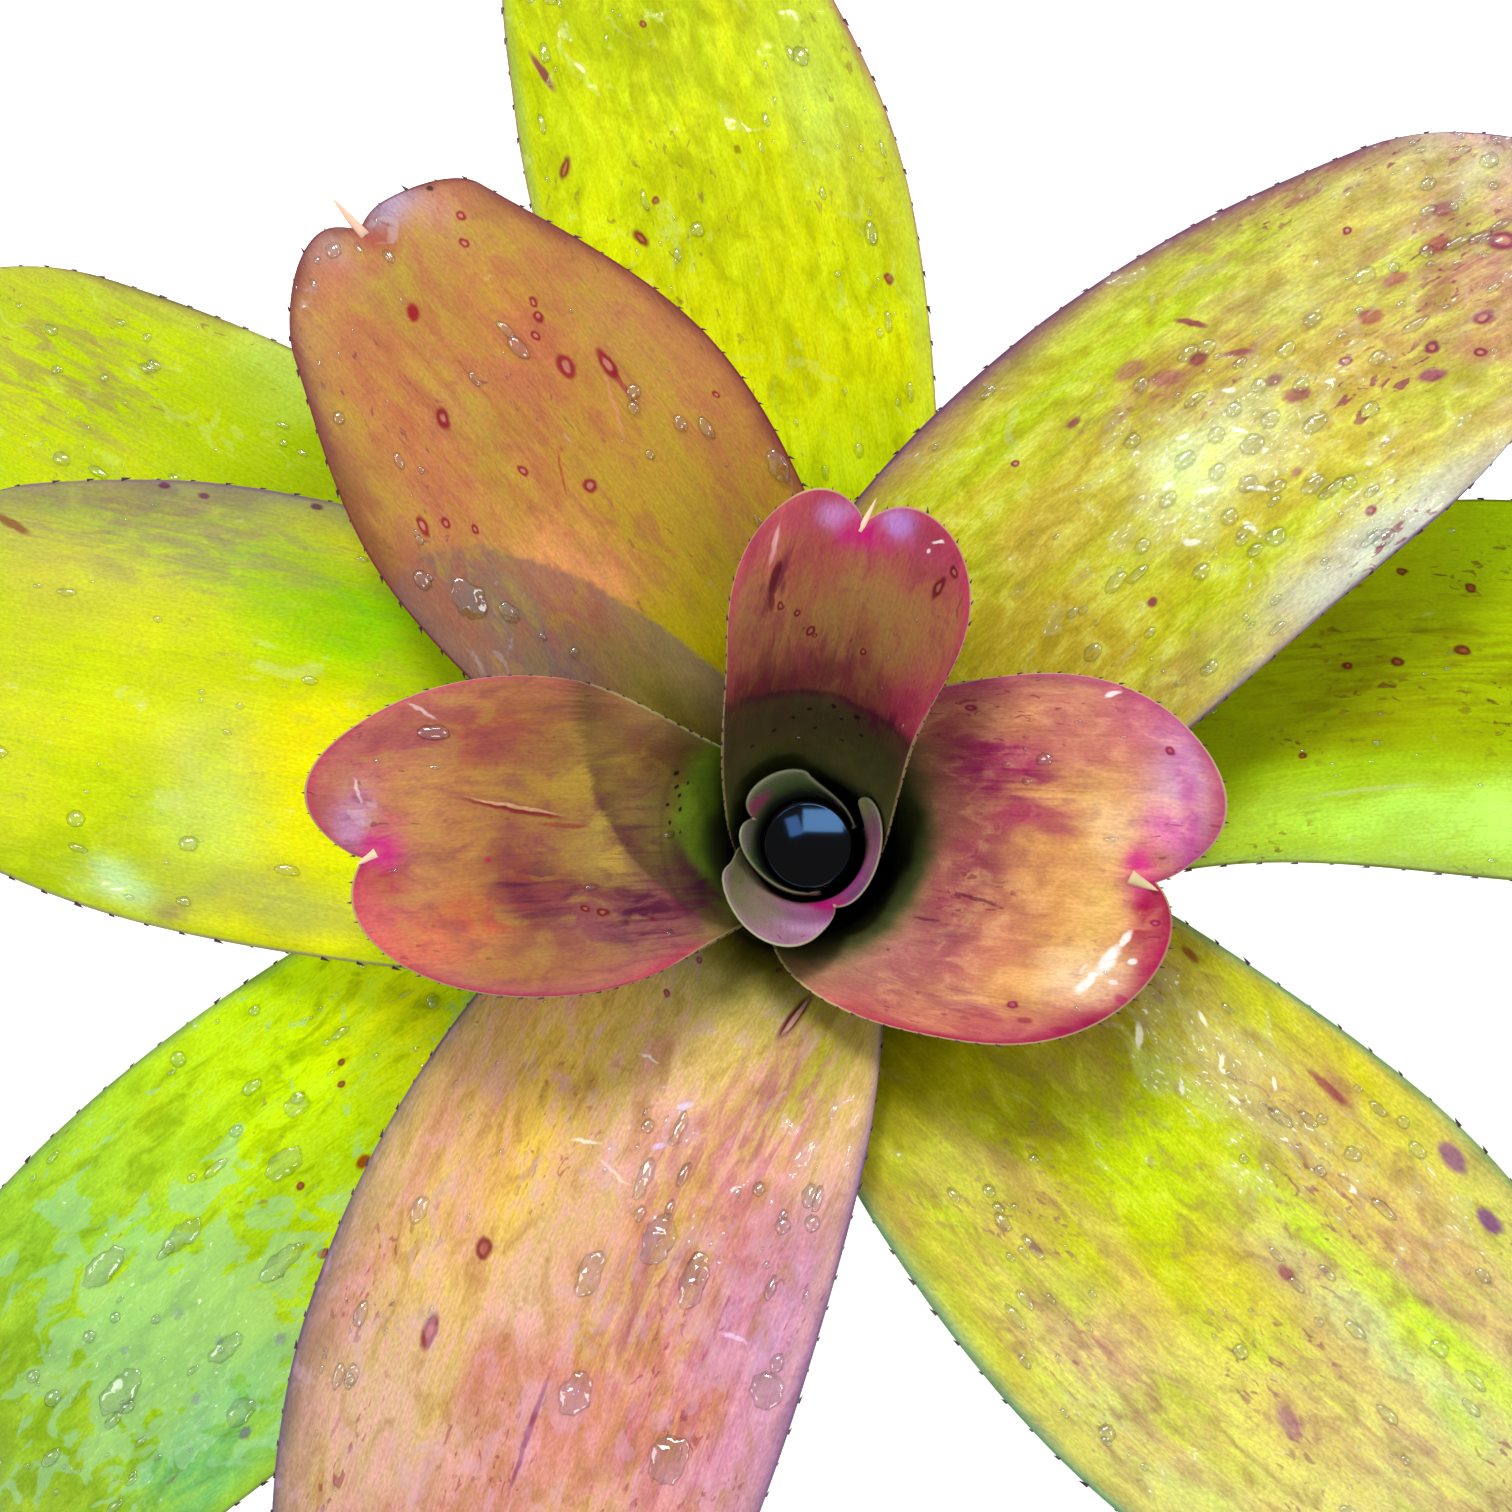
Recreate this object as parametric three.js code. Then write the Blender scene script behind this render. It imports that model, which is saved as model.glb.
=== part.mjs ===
// Neoregelia bromeliad, as a picked plant: a short cut stem, fourteen leaves whose sheaths nest
// round each other in a 137.5 degree spiral, and the water held in the cup in the middle.
// Millimetres, +Z up. The origin is the centre of the flat cut under the stem.
import * as THREE from 'three';
import { mergeVertices } from 'three/addons/utils/BufferGeometryUtils.js';

// ---- Driving dimensions -------------------------------------------------------------------

const GAP = 0.3; // free space between touching pieces

// The stem is a cone that the leaves clasp, over a stub with the scars of shed leaves.
const STEM = {
  cutRadius: 20.5, stubRadius: 23, scarDepth: 0.9, scarHalfHeight: 1.2, scarHeights: [4, 8],
  topHeight: 51.5, domeShare: 0.72,
};

// Each leaf leaves the stem a little higher and further in than the one outside it.
const FOOT = { innerRadius: 8, outerRadius: 24.6, innerHeight: 48, outerHeight: 12, clasp: 105 };

// At its neck a sheath stands upright, and there the blade begins to lean out.
const NECK = { innerRadius: 11, pitch: 2.35, innerHeight: 96, outerHeight: 66 };

const THICKNESS = { sheath: 1.2, blade: 1.0, margin: 0.7 };
const LEAN = { neck: 0.24, tip: 0.4 }; // how far each end's direction reaches into the blade
const PAST_TIP = 30; // how far the midrib's line runs on, for the lobes to follow
const WAVE = { perBlade: 2.6, perLeaf: 0.37, otherEdge: 1.9 }; // waves, and shifts between edges
const ROLL_START = 0.6; // share of the blade where its edges begin to turn down
const SPINE = { base: 1.3, length: 1.7, lean: 0.5, innerSpacing: 8, outerSpacing: 14 };
const SPIKE_RISE = 0.35; // how steeply the tip's spike stands up, as a share of its length
const NOTCH_WIDTH = 0.12; // share of the half width over which the notch opens
const CREASE = { width: 0.2, length: 9 }; // the pleat that ends in the tip's spike
// The water narrows towards the growing point, as the sheath round it does.
const WATER = { radius: 9.3, level: 92, clearance: 1, waist: [0.92, 9], shoulder: [1, 20], floorShare: 0.72 };

// Leaves from the innermost to the outermost. azimuth: where it points, in degrees from +X
// towards +Y. reach and rise: how far out and how high the middle of its tip is. slope: how steep
// the tip is. sway and bow: the midrib's sideways drift at the tip and at mid blade. halfWidths:
// at the neck, at one and two thirds of the blade, and at its end. shoulders: how long the
// rounding of the end is, and lobes: how far it stands past the tip, on the +azimuth and then the
// -azimuth side. notch, spike: depth of the notch and length of the spike in it. channel: how
// much the edges rise over the midrib. roll: how much they turn down at the end. wave: their
// unevenness. crease: depth of the pleat behind the spike.
const LEAVES = [
  {
    azimuth: 154.5, reach: 16, rise: 123, slope: 70, sway: 2, bow: 0, halfWidths: [26, 19, 17, 19],
    shoulders: [44, 7], lobes: [-4, -1], notch: 12, spike: 2, channel: 0, roll: 0, wave: 0, crease: 0,
  },
  {
    azimuth: 282.5, reach: 20, rise: 121, slope: 66, sway: 3, bow: 2, halfWidths: [22, 27, 30, 38],
    shoulders: [14, 16], lobes: [-11, 9], notch: 14, spike: 3, channel: 0, roll: 0, wave: 0, crease: 0,
  },
  {
    azimuth: 86, reach: 62, rise: 166, slope: 4, sway: -8, bow: 1, halfWidths: [29, 23, 23, 35],
    shoulders: [52, 37], lobes: [5, 4], notch: 3, spike: 6, channel: 1.5, roll: 3, wave: 0, crease: 2,
  },
  {
    azimuth: 178, reach: 88, rise: 161, slope: -2, sway: 9, bow: 1, halfWidths: [18, 24, 35, 42],
    shoulders: [70, 43], lobes: [2, 11], notch: 3, spike: 4, channel: 1, roll: 3, wave: 0, crease: 2.5,
  },
  {
    azimuth: 352, reach: 76, rise: 149, slope: -6, sway: 0, bow: -2, halfWidths: [37, 43, 43, 53],
    shoulders: [36, 50], lobes: [9, 0], notch: 7, spike: 6, channel: 1, roll: 3, wave: 0, crease: 2.5,
  },
  {
    azimuth: 125, reach: 154, rise: 152, slope: -4, sway: 4, bow: -3, halfWidths: [36, 39, 42, 22],
    shoulders: [15, 9], lobes: [2, -1], notch: 3, spike: 9, channel: 3, roll: 3, wave: 0.4, crease: 2.5,
  },
  {
    azimuth: 243, reach: 204, rise: 132, slope: -10, sway: 18, bow: -5, halfWidths: [30, 47, 50, 35],
    shoulders: [34, 36], lobes: [3, 2], notch: 5, spike: 8, channel: 5, roll: 2, wave: 1, crease: 2.5,
  },
  {
    azimuth: 41.5, reach: 209, rise: 134, slope: -10, sway: -11, bow: 9, halfWidths: [39, 44, 40, 29],
    shoulders: [29, 70], lobes: [3, 2], notch: 5, spike: 8, channel: 5, roll: 2, wave: 1, crease: 2.5,
  },
  {
    azimuth: 167.5, reach: 208, rise: 124, slope: -12, sway: 3, bow: -1, halfWidths: [43, 47, 47, 32],
    shoulders: [36, 33], lobes: [2, 3], notch: 5, spike: 8, channel: 6, roll: 2, wave: 1.2, crease: 2.5,
  },
  {
    azimuth: 315, reach: 220, rise: 118, slope: -14, sway: 6, bow: -3, halfWidths: [31, 48, 52, 31],
    shoulders: [35, 38], lobes: [3, 2], notch: 5, spike: 8, channel: 6, roll: 2, wave: 1.2, crease: 2.5,
  },
  {
    azimuth: 97, reach: 220, rise: 112, slope: -16, sway: 16, bow: -5, halfWidths: [32, 37, 40, 29],
    shoulders: [30, 36], lobes: [2, 3], notch: 5, spike: 8, channel: 6, roll: 2, wave: 1.2, crease: 2.5,
  },
  {
    azimuth: 215.5, reach: 224, rise: 104, slope: -18, sway: 8, bow: -5, halfWidths: [40, 41, 43, 38],
    shoulders: [33, 38], lobes: [3, 2], notch: 5, spike: 8, channel: 6, roll: 2, wave: 1.2, crease: 2.5,
  },
  {
    azimuth: 16, reach: 214, rise: 98, slope: -20, sway: -34, bow: 7, halfWidths: [30, 32, 42, 41],
    shoulders: [36, 34], lobes: [2, 3], notch: 5, spike: 8, channel: 6, roll: 2, wave: 1.2, crease: 2.5,
  },
  {
    azimuth: 151, reach: 243, rise: 90, slope: -22, sway: 0, bow: 0, halfWidths: [48, 44, 39, 29],
    shoulders: [38, 46], lobes: [3, 2], notch: 5, spike: 8, channel: 6, roll: 2, wave: 1.2, crease: 2.5,
  },
];

// Solids' fineness: lines across one half of a leaf, and steps along its sheath and its blade.
// crowding above 1 draws the blade's steps together at the neck, where a long blade bends most.
const INNER = { across: [0, 0.12, 0.33, 0.56, 0.78, 0.94, 1], sheathSteps: 4, bladeSteps: 6, crowding: 1.2 };
const OUTER = { across: [0, 0.13, 0.42, 0.72, 0.93, 1], sheathSteps: 4, bladeSteps: 9, crowding: 1.45 };
const INNER_LEAVES = 5;
const BLUSHED_LEAVES = 3; // next outside the inner ones
const TURN_STEPS = 28; // sides of the turned pieces

const { lerp, clamp, degToRad } = THREE.MathUtils;

// ---- Leaves -------------------------------------------------------------------------------

function footOf(index) {
  const age = index / (LEAVES.length - 1);
  return new THREE.Vector2(
    lerp(FOOT.innerRadius, FOOT.outerRadius, age),
    lerp(FOOT.innerHeight, FOOT.outerHeight, age),
  );
}

function neckOf(index) {
  const age = index / (LEAVES.length - 1);
  return new THREE.Vector2(
    NECK.innerRadius + NECK.pitch * index,
    lerp(NECK.innerHeight, NECK.outerHeight, age),
  );
}

// The midrib in the plane of radius and height: a quarter ellipse from the stem to the upright
// neck, then one arch out to the tip, carried on straight past it for the lobes.
function midrib(leaf, index) {
  const foot = footOf(index);
  const neck = neckOf(index);
  const tip = new THREE.Vector2(leaf.reach, leaf.rise);
  const span = neck.distanceTo(tip);
  const slope = degToRad(leaf.slope);
  const way = new THREE.Vector2(Math.cos(slope), Math.sin(slope));
  const sheath = new THREE.EllipseCurve(foot.x, neck.y, neck.x - foot.x, neck.y - foot.y, -Math.PI / 2, 0);
  const blade = new THREE.CubicBezierCurve(
    neck,
    neck.clone().add(new THREE.Vector2(0, LEAN.neck * span)),
    tip.clone().addScaledVector(way, -LEAN.tip * span),
    tip,
  );
  const past = new THREE.LineCurve(tip, tip.clone().addScaledVector(way, PAST_TIP));
  const path = new THREE.CurvePath();
  path.curves.push(sheath, blade, past);
  for (const curve of path.curves) curve.arcLengthDivisions = 120;
  const sheathLength = sheath.getLength();
  return { path, footRadius: foot.x, sheathLength, length: sheathLength + blade.getLength() };
}

// A point of the leaf's middle surface: s mm along the leaf, and v half widths across it.
function layPoint(leaf, index, rib, s, v) {
  const along = clamp((s - rib.sheathLength) / (rib.length - rib.sheathLength), 0, 1);
  const share = clamp(s / rib.path.getLength(), 0, 1);
  const spot = rib.path.getPointAt(share);
  const way = rib.path.getTangentAt(share);
  const claspWidth = rib.footRadius * degToRad(FOOT.clasp);
  const sheathShare = Math.sin((clamp(s / rib.sheathLength, 0, 1) * Math.PI) / 2);
  const sheathWidth = lerp(claspWidth, leaf.halfWidths[0], sheathShare);
  const halfWidth = along > 0 ? rib.widths.getPoint(along).y : sheathWidth;
  const drift = leaf.bow * Math.sin(Math.PI * along) + leaf.sway * along ** 2;
  const angle = degToRad(leaf.azimuth) + (v * halfWidth + drift) / spot.x;
  const edge = Math.abs(v);
  const phase = 2 * Math.PI * (WAVE.perBlade * along + WAVE.perLeaf * index);
  const ripple = Math.sin(phase + (v > 0 ? WAVE.otherEdge : 0));
  const turned = clamp((along - ROLL_START) / (1 - ROLL_START), 0, 1) ** 2;
  const pleat = Math.exp(-((v / CREASE.width) ** 2) - ((rib.length - s) / CREASE.length) ** 2);
  const lift = leaf.channel * along * v ** 2 + leaf.wave * ripple * along * edge ** 3
    - leaf.roll * turned * v ** 2 - leaf.crease * pleat;
  const radius = spot.x - way.y * lift;
  return new THREE.Vector3(radius * Math.cos(angle), radius * Math.sin(angle), spot.y + way.x * lift);
}

// How far along the leaf its end lies, v half widths from the midrib: round shoulders, two lobes
// and the notch between them.
function endOf(leaf, rib, v) {
  const side = v > 0 ? 0 : 1;
  const edge = Math.abs(v);
  const shoulder = leaf.shoulders[side] * (1 - Math.sqrt(Math.max(1 - edge ** 2.2, 0)));
  const lobe = leaf.lobes[side] * Math.sin(Math.PI * edge ** 0.8);
  return rib.length - shoulder + lobe - leaf.notch * Math.exp(-edge / NOTCH_WIDTH);
}

// A leaf as one closed solid. Its upper and lower faces are split into triangles alike, and its
// rim carries the small forward-leaning spines and the spike that rises from the notch.
function leafGeometry(leaf, index) {
  const rib = midrib(leaf, index);
  rib.widths = new THREE.SplineCurve(leaf.halfWidths.map((width, i) => new THREE.Vector2(i, width)));
  const fineness = index < INNER_LEAVES ? INNER : OUTER;
  const spacing = index < INNER_LEAVES ? SPINE.innerSpacing : SPINE.outerSpacing;
  const half = fineness.across.length - 1;
  const rows = fineness.sheathSteps + fineness.bladeSteps;
  const neckShare = rib.sheathLength / rib.length;
  const lower = [];
  const upper = [];
  const faces = [];
  const corners = new Map();

  const shareOfRow = (row) => (row <= fineness.sheathSteps
    ? (neckShare * row) / fineness.sheathSteps
    : lerp(neckShare, 1, ((row - fineness.sheathSteps) / fineness.bladeSteps) ** fineness.crowding));
  const acrossAt = (column) => Math.sign(column) * fineness.across[Math.abs(column)];

  const place = (s, v) => layPoint(leaf, index, rib, s, v);

  function frameAt(u, v) {
    const step = 0.5;
    const share = v > 0 ? -0.02 : 0.02;
    const s = u * endOf(leaf, rib, v);
    const spot = place(s, v);
    const along = place(s + step, v).sub(place(Math.max(s - step, 0), v));
    const across = place(s, v + share).sub(spot).multiplyScalar(Math.sign(share));
    return { s, spot, along: along.normalize(), normal: along.clone().cross(across).normalize() };
  }

  function addVertex(u, v) {
    const { s, spot, along, normal } = frameAt(u, v);
    const grown = clamp(s / rib.sheathLength, 0, 1);
    const middle = lerp(THICKNESS.sheath, THICKNESS.blade, grown);
    const onRim = Math.abs(v) === 1 || u === 1;
    const thickness = onRim && grown === 1 ? THICKNESS.margin : middle;
    lower.push(spot.clone().addScaledVector(normal, -thickness / 2));
    upper.push(spot.clone().addScaledVector(normal, thickness / 2));
    return { id: lower.length - 1, u, v, spot, along, normal };
  }

  function cornerAt(row, column) {
    const key = `${row},${column}`;
    if (!corners.has(key)) corners.set(key, addVertex(shareOfRow(row), acrossAt(column)));
    return corners.get(key);
  }

  // The rim between two corners, with the two feet of each spine that stands on it.
  const rimStretches = new Map();
  const horns = [];
  function rimBetween(from, to, armed) {
    const key = `${from.id},${to.id}`;
    if (rimStretches.has(key)) return rimStretches.get(key);
    const between = (share) => addVertex(lerp(from.u, to.u, share), lerp(from.v, to.v, share));
    const length = from.spot.distanceTo(to.spot);
    const stretch = [];
    const notchAt = armed && from.v === 0 ? 0 : 1;
    if (armed && (from.v === 0 || to.v === 0)) {
      stretch.push(between(Math.abs(notchAt - SPINE.base / length)));
    } else if (armed) {
      const count = Math.max(Math.round(length / spacing), 1);
      for (let i = 0; i < count; i += 1) {
        const middle = (i + 0.5) / count;
        const reach = SPINE.base / length / 2;
        const feet = [between(middle - reach), between(middle + reach)];
        horns.push({ feet, point: spinePoint(feet) });
        stretch.push(...feet);
      }
    }
    rimStretches.set(key, stretch);
    return stretch;
  }

  function spinePoint([first, last]) {
    const run = last.spot.clone().sub(first.spot).normalize();
    const outward = first.normal.clone().cross(run);
    return first.spot.clone().add(last.spot).multiplyScalar(0.5)
      .addScaledVector(outward, SPINE.length)
      .addScaledVector(first.along, SPINE.length * SPINE.lean);
  }

  // Cells between the lines, each split as a fan from its corner furthest from the rim.
  for (let row = 0; row < rows; row += 1) {
    for (let column = -half; column < half; column += 1) {
      const [a, b, c, d] = [
        cornerAt(row, column), cornerAt(row, column + 1),
        cornerAt(row + 1, column + 1), cornerAt(row + 1, column),
      ];
      const onLeft = column === -half;
      const onRight = column === half - 1;
      const onEnd = row === rows - 1;
      const armed = row >= fineness.sheathSteps;
      const loop = [
        a, b, ...(onRight ? rimBetween(b, c, armed) : []),
        c, ...(onEnd ? rimBetween(c, d, true) : []),
        d, ...(onLeft ? rimBetween(d, a, armed) : []),
      ];
      const start = loop.indexOf(onRight ? a : b);
      const fan = [...loop.slice(start), ...loop.slice(0, start)];
      for (let i = 1; i < fan.length - 1; i += 1) faces.push([fan[0].id, fan[i].id, fan[i + 1].id]);
    }
  }

  // The rim in order: along the foot, up one edge, across the end and down the other edge.
  const rim = [];
  for (let column = -half; column < half; column += 1) rim.push(cornerAt(0, column));
  for (let row = 0; row < rows; row += 1) {
    const from = cornerAt(row, half);
    rim.push(from, ...rimBetween(from, cornerAt(row + 1, half), false));
  }
  for (let column = half; column > -half; column -= 1) {
    const from = cornerAt(rows, column);
    rim.push(from, ...rimBetween(from, cornerAt(rows, column - 1), false));
  }
  for (let row = rows; row > 0; row -= 1) {
    const from = cornerAt(row, -half);
    rim.push(from, ...rimBetween(from, cornerAt(row - 1, -half), false));
  }

  const notch = cornerAt(rows, 0);
  const notchPlace = rim.indexOf(notch);
  const spikePoint = notch.spot.clone()
    .addScaledVector(notch.along, leaf.spike)
    .addScaledVector(notch.normal, leaf.spike * SPIKE_RISE);
  horns.push({ feet: [rim[notchPlace - 1], notch, rim[notchPlace + 1]], point: spikePoint });

  const positions = [...lower, ...upper, ...horns.map((horn) => horn.point)];
  const above = lower.length;
  const triangles = faces.flatMap(([a, b, c]) => [a, b, c, a + above, c + above, b + above]);
  const hornOf = new Map();
  horns.forEach((horn, order) => {
    const point = 2 * above + order;
    const { feet } = horn;
    const [first, last] = [feet[0].id, feet[feet.length - 1].id];
    triangles.push(first, first + above, point, last + above, last, point);
    for (let i = 0; i < feet.length - 1; i += 1) hornOf.set(feet[i].id, point);
  });
  rim.forEach((from, place) => {
    const a = from.id;
    const b = rim[(place + 1) % rim.length].id;
    if (hornOf.has(a)) {
      const point = hornOf.get(a);
      triangles.push(b, a, point, a + above, b + above, point);
    } else {
      triangles.push(b, a, a + above, b, a + above, b + above);
    }
  });

  const geometry = new THREE.BufferGeometry();
  const coordinates = positions.flatMap((position) => position.toArray());
  geometry.setAttribute('position', new THREE.Float32BufferAttribute(coordinates, 3));
  geometry.setIndex(triangles);
  return geometry;
}

// ---- Stem and water -----------------------------------------------------------------------

function turned(profile) {
  const points = profile.map(([radius, height]) => new THREE.Vector2(radius, height));
  const geometry = new THREE.LatheGeometry(points, TURN_STEPS);
  geometry.rotateX(Math.PI / 2);
  geometry.deleteAttribute('normal');
  geometry.deleteAttribute('uv');
  return mergeVertices(geometry, 1e-4);
}

// A turned solid: flat cut below, scarred stub, cone under the leaf feet, and a domed growing point.
function stemGeometry() {
  const facetShare = 0.95; // keeps the cone inside the flat facets of the leaf feet
  const radiusUnder = (index) => facetShare * footOf(index).x - GAP;
  const profile = [[0, 0], [STEM.cutRadius, 0]];
  for (const height of STEM.scarHeights) {
    profile.push([STEM.stubRadius, height - STEM.scarHalfHeight]);
    profile.push([STEM.stubRadius - STEM.scarDepth, height]);
  }
  profile.push([radiusUnder(LEAVES.length - 1), FOOT.outerHeight - 1]);
  profile.push([radiusUnder(0), FOOT.innerHeight]);
  profile.push([radiusUnder(0) * STEM.domeShare, STEM.topHeight - 1], [0, STEM.topHeight]);
  return turned(profile);
}

// The water stands on the growing point, inside the sheath of the innermost leaf.
function waterGeometry() {
  const floor = STEM.topHeight + WATER.clearance;
  return turned([
    [0, floor],
    [WATER.radius * WATER.floorShare, floor],
    [WATER.radius * WATER.waist[0], floor + WATER.waist[1]],
    [WATER.radius * WATER.shoulder[0], floor + WATER.shoulder[1]],
    [WATER.radius, WATER.level],
    [0, WATER.level],
  ]);
}

// ---- Materials and assembly ---------------------------------------------------------------

const leafMaterial = (color) => new THREE.MeshStandardMaterial({ color, roughness: 0.35, metalness: 0 });
const heartLeaf = leafMaterial('#a6546a');
const blushedLeaf = leafMaterial('#b98a4e');
const greenLeaf = leafMaterial('#a9cc1a');
const stemMaterial = new THREE.MeshStandardMaterial({ color: '#8c7a52', roughness: 0.8, metalness: 0 });
const waterMaterial = new THREE.MeshStandardMaterial({ color: '#0c1216', roughness: 0.03, metalness: 0 });

function piece(name, geometry, material) {
  const mesh = new THREE.Mesh(geometry, material);
  mesh.name = name;
  return mesh;
}

const plant = new THREE.Group();
plant.add(piece('stem', stemGeometry(), stemMaterial));
plant.add(piece('tank_water', waterGeometry(), waterMaterial));
LEAVES.forEach((leaf, index) => {
  const blushed = index < INNER_LEAVES + BLUSHED_LEAVES;
  const material = index < INNER_LEAVES ? heartLeaf : blushed ? blushedLeaf : greenLeaf;
  const number = String(index + 1).padStart(2, '0');
  plant.add(piece(`leaf_${number}`, leafGeometry(leaf, index), material));
});

export default plant;
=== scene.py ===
import math

import bpy
import numpy as np
from mathutils import Matrix, Vector


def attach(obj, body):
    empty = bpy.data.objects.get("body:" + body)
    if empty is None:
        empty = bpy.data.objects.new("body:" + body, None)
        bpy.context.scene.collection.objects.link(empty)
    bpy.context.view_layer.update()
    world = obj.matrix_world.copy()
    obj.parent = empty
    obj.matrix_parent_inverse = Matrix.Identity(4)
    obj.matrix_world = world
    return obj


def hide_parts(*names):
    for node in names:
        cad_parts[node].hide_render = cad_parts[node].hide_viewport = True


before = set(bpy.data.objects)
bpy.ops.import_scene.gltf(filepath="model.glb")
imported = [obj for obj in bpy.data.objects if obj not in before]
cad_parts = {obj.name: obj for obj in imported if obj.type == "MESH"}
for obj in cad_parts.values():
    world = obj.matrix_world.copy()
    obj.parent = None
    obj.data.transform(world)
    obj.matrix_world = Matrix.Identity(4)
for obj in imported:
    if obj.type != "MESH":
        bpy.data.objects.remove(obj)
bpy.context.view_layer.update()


# ---- Camera, floor and light ---------------------------------------------------------------
# The plant is looked at from straight above, about half a metre over the water in its cup. It
# stands on white studio paper, with a bright window light to the north and soft boxes all round.

def linear(code):
    """An sRGB hex colour as the linear values that Blender works with, opaque."""
    parts = [int(code[i:i + 2], 16) / 255 for i in (1, 3, 5)]
    return (*[p / 12.92 if p <= 0.04045 else ((p + 0.055) / 1.055) ** 2.4 for p in parts], 1.0)


def add(tree, kind, inputs=None, **settings):
    """Adds a node with its settings. An input is a value, an output, or a node for its first output."""
    made = tree.nodes.new(kind)
    for key, value in settings.items():
        setattr(made, key, value)
    for socket, value in (inputs or {}).items():
        if isinstance(value, bpy.types.Node):
            value = value.outputs[0]
        if isinstance(value, bpy.types.NodeSocket):
            tree.links.new(value, made.inputs[socket])
        else:
            made.inputs[socket].default_value = value
    return made


def new_material(name):
    """An empty material and its tree."""
    material = bpy.data.materials.new(name)
    material.use_nodes = True
    material.node_tree.nodes.clear()
    return material, material.node_tree


scene = bpy.context.scene
scene.view_settings.view_transform = "Standard"

camera = bpy.data.objects.new("camera", bpy.data.cameras.new("camera"))
camera.data.lens = 50
camera.data.sensor_width = 36
camera.data.clip_start = 0.01
eye, target = Vector((0.004, -0.022, 0.560)), Vector((-0.01066, 0.01744, 0.120))
ahead = (target - eye).normalized()
right = ahead.cross(Vector((0, 1, 0))).normalized()
turn = Matrix((right, right.cross(ahead), -ahead)).transposed().to_4x4()
camera.matrix_world = Matrix.Translation(eye) @ turn
scene.collection.objects.link(camera)
scene.camera = camera

# a sheet eight metres square
floor_data = bpy.data.meshes.new("floor")
floor_data.from_pydata([(-4, -4, 0), (4, -4, 0), (4, 4, 0), (-4, 4, 0)], [], [(0, 1, 2, 3)])
floor = bpy.data.objects.new("floor", floor_data)
scene.collection.objects.link(floor)
# Matt white studio paper, lit from behind so that it stays white under the leaves.
paper, tree = new_material("studio_paper")
sheet = add(tree, "ShaderNodeBsdfPrincipled", {
    "Base Color": linear("#F4F4F4"), "Roughness": 0.9, "Specular IOR Level": 0.1,
    "Emission Color": linear("#FFFFFF"), "Emission Strength": 0.7,
})
add(tree, "ShaderNodeOutputMaterial", {"Surface": sheet})
floor_data.materials.append(paper)

world = bpy.data.worlds.new("soft_sky")
world.use_nodes = True
sky = world.node_tree.nodes["Background"]
sky.inputs["Color"].default_value = linear("#F6F8FF")
sky.inputs["Strength"].default_value = 0.52
scene.world = world
LAMPS_AIM_AT = Vector((0, 0, 0.1))
# each lamp: where it hangs, its width and height in metres, its watts and its colour
for name, place, size, power, colour in (
    ("window_light", (-0.30, 0.85, 1.25), (0.34, 0.34), 12.5, "#FFFCF4"),
    ("north_softbox", (0.25, 1.35, 1.30), (0.70, 0.55), 7.5, "#FFFFFF"),
    ("west_softbox", (-1.50, -0.10, 1.20), (0.70, 0.70), 5.6, "#FFFFFF"),
    ("east_softbox", (1.50, 0.10, 1.20), (0.60, 0.60), 5.0, "#FFFFFF"),
    ("south_softbox", (0.45, -1.40, 1.30), (0.60, 0.60), 5.0, "#FFFFFF"),
    # two small blue panes, there to be mirrored in the water of the cup
    ("cup_pane_left", (-0.0245, 0.0830, 1.50), (0.0120, 0.0170), 0.0190, "#5A90DC"),
    ("cup_pane_right", (0.0015, 0.0880, 1.50), (0.0360, 0.0200), 0.0900, "#74ACEE"),
):
    light = bpy.data.lights.new(name, "AREA")
    light.shape = "RECTANGLE"
    light.size, light.size_y = size
    light.energy = power
    light.color = linear(colour)[:3]
    lamp = bpy.data.objects.new(name, light)
    lamp.location = place
    lamp.rotation_euler = (LAMPS_AIM_AT - Vector(place)).to_track_quat("-Z", "Y").to_euler()
    scene.collection.objects.link(lamp)


# ---- Stem ----------------------------------------------------------------------------------
# A short upright stem of tough tissue, cut flat below. The leaves clasp its cone, the stub below
# them carries the rings that shed leaves leave behind, and its top is the growing point.

def add_attributes(data, attributes):
    """Stores named values on a mesh's points: numbers, vectors of three or colours of four."""
    for label, values in attributes.items():
        values = np.asarray(values, dtype=np.float32)
        width = values.shape[1] if values.ndim > 1 else 1
        kind, field = {
            1: ("FLOAT", "value"), 3: ("FLOAT_VECTOR", "vector"), 4: ("FLOAT_COLOR", "color")}[width]
        data.attributes.new(label, kind, "POINT").data.foreach_set(field, values.ravel())


def make_piece(name, points, faces, material, attributes=None):
    """A mesh object from points in millimetres, with named point attributes."""
    data = bpy.data.meshes.new(name)
    data.from_pydata((np.asarray(points) / 1000).tolist(), [], faces)
    add_attributes(data, attributes or {})
    data.shade_smooth()
    data.materials.append(material)
    made = bpy.data.objects.new(name, data)
    scene.collection.objects.link(made)
    return made


def ring_faces(rings, sides):
    """Faces of a closed round body, whose points are its rings from the foot up, its foot and its top."""
    faces = []
    for j in range(sides):
        k = (j + 1) % sides
        faces.append((rings * sides, k, j))
        faces.append((rings * sides + 1, (rings - 1) * sides + j, (rings - 1) * sides + k))
        for i in range(rings - 1):
            faces.append((i * sides + j, i * sides + k, (i + 1) * sides + k, (i + 1) * sides + j))
    return faces


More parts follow.
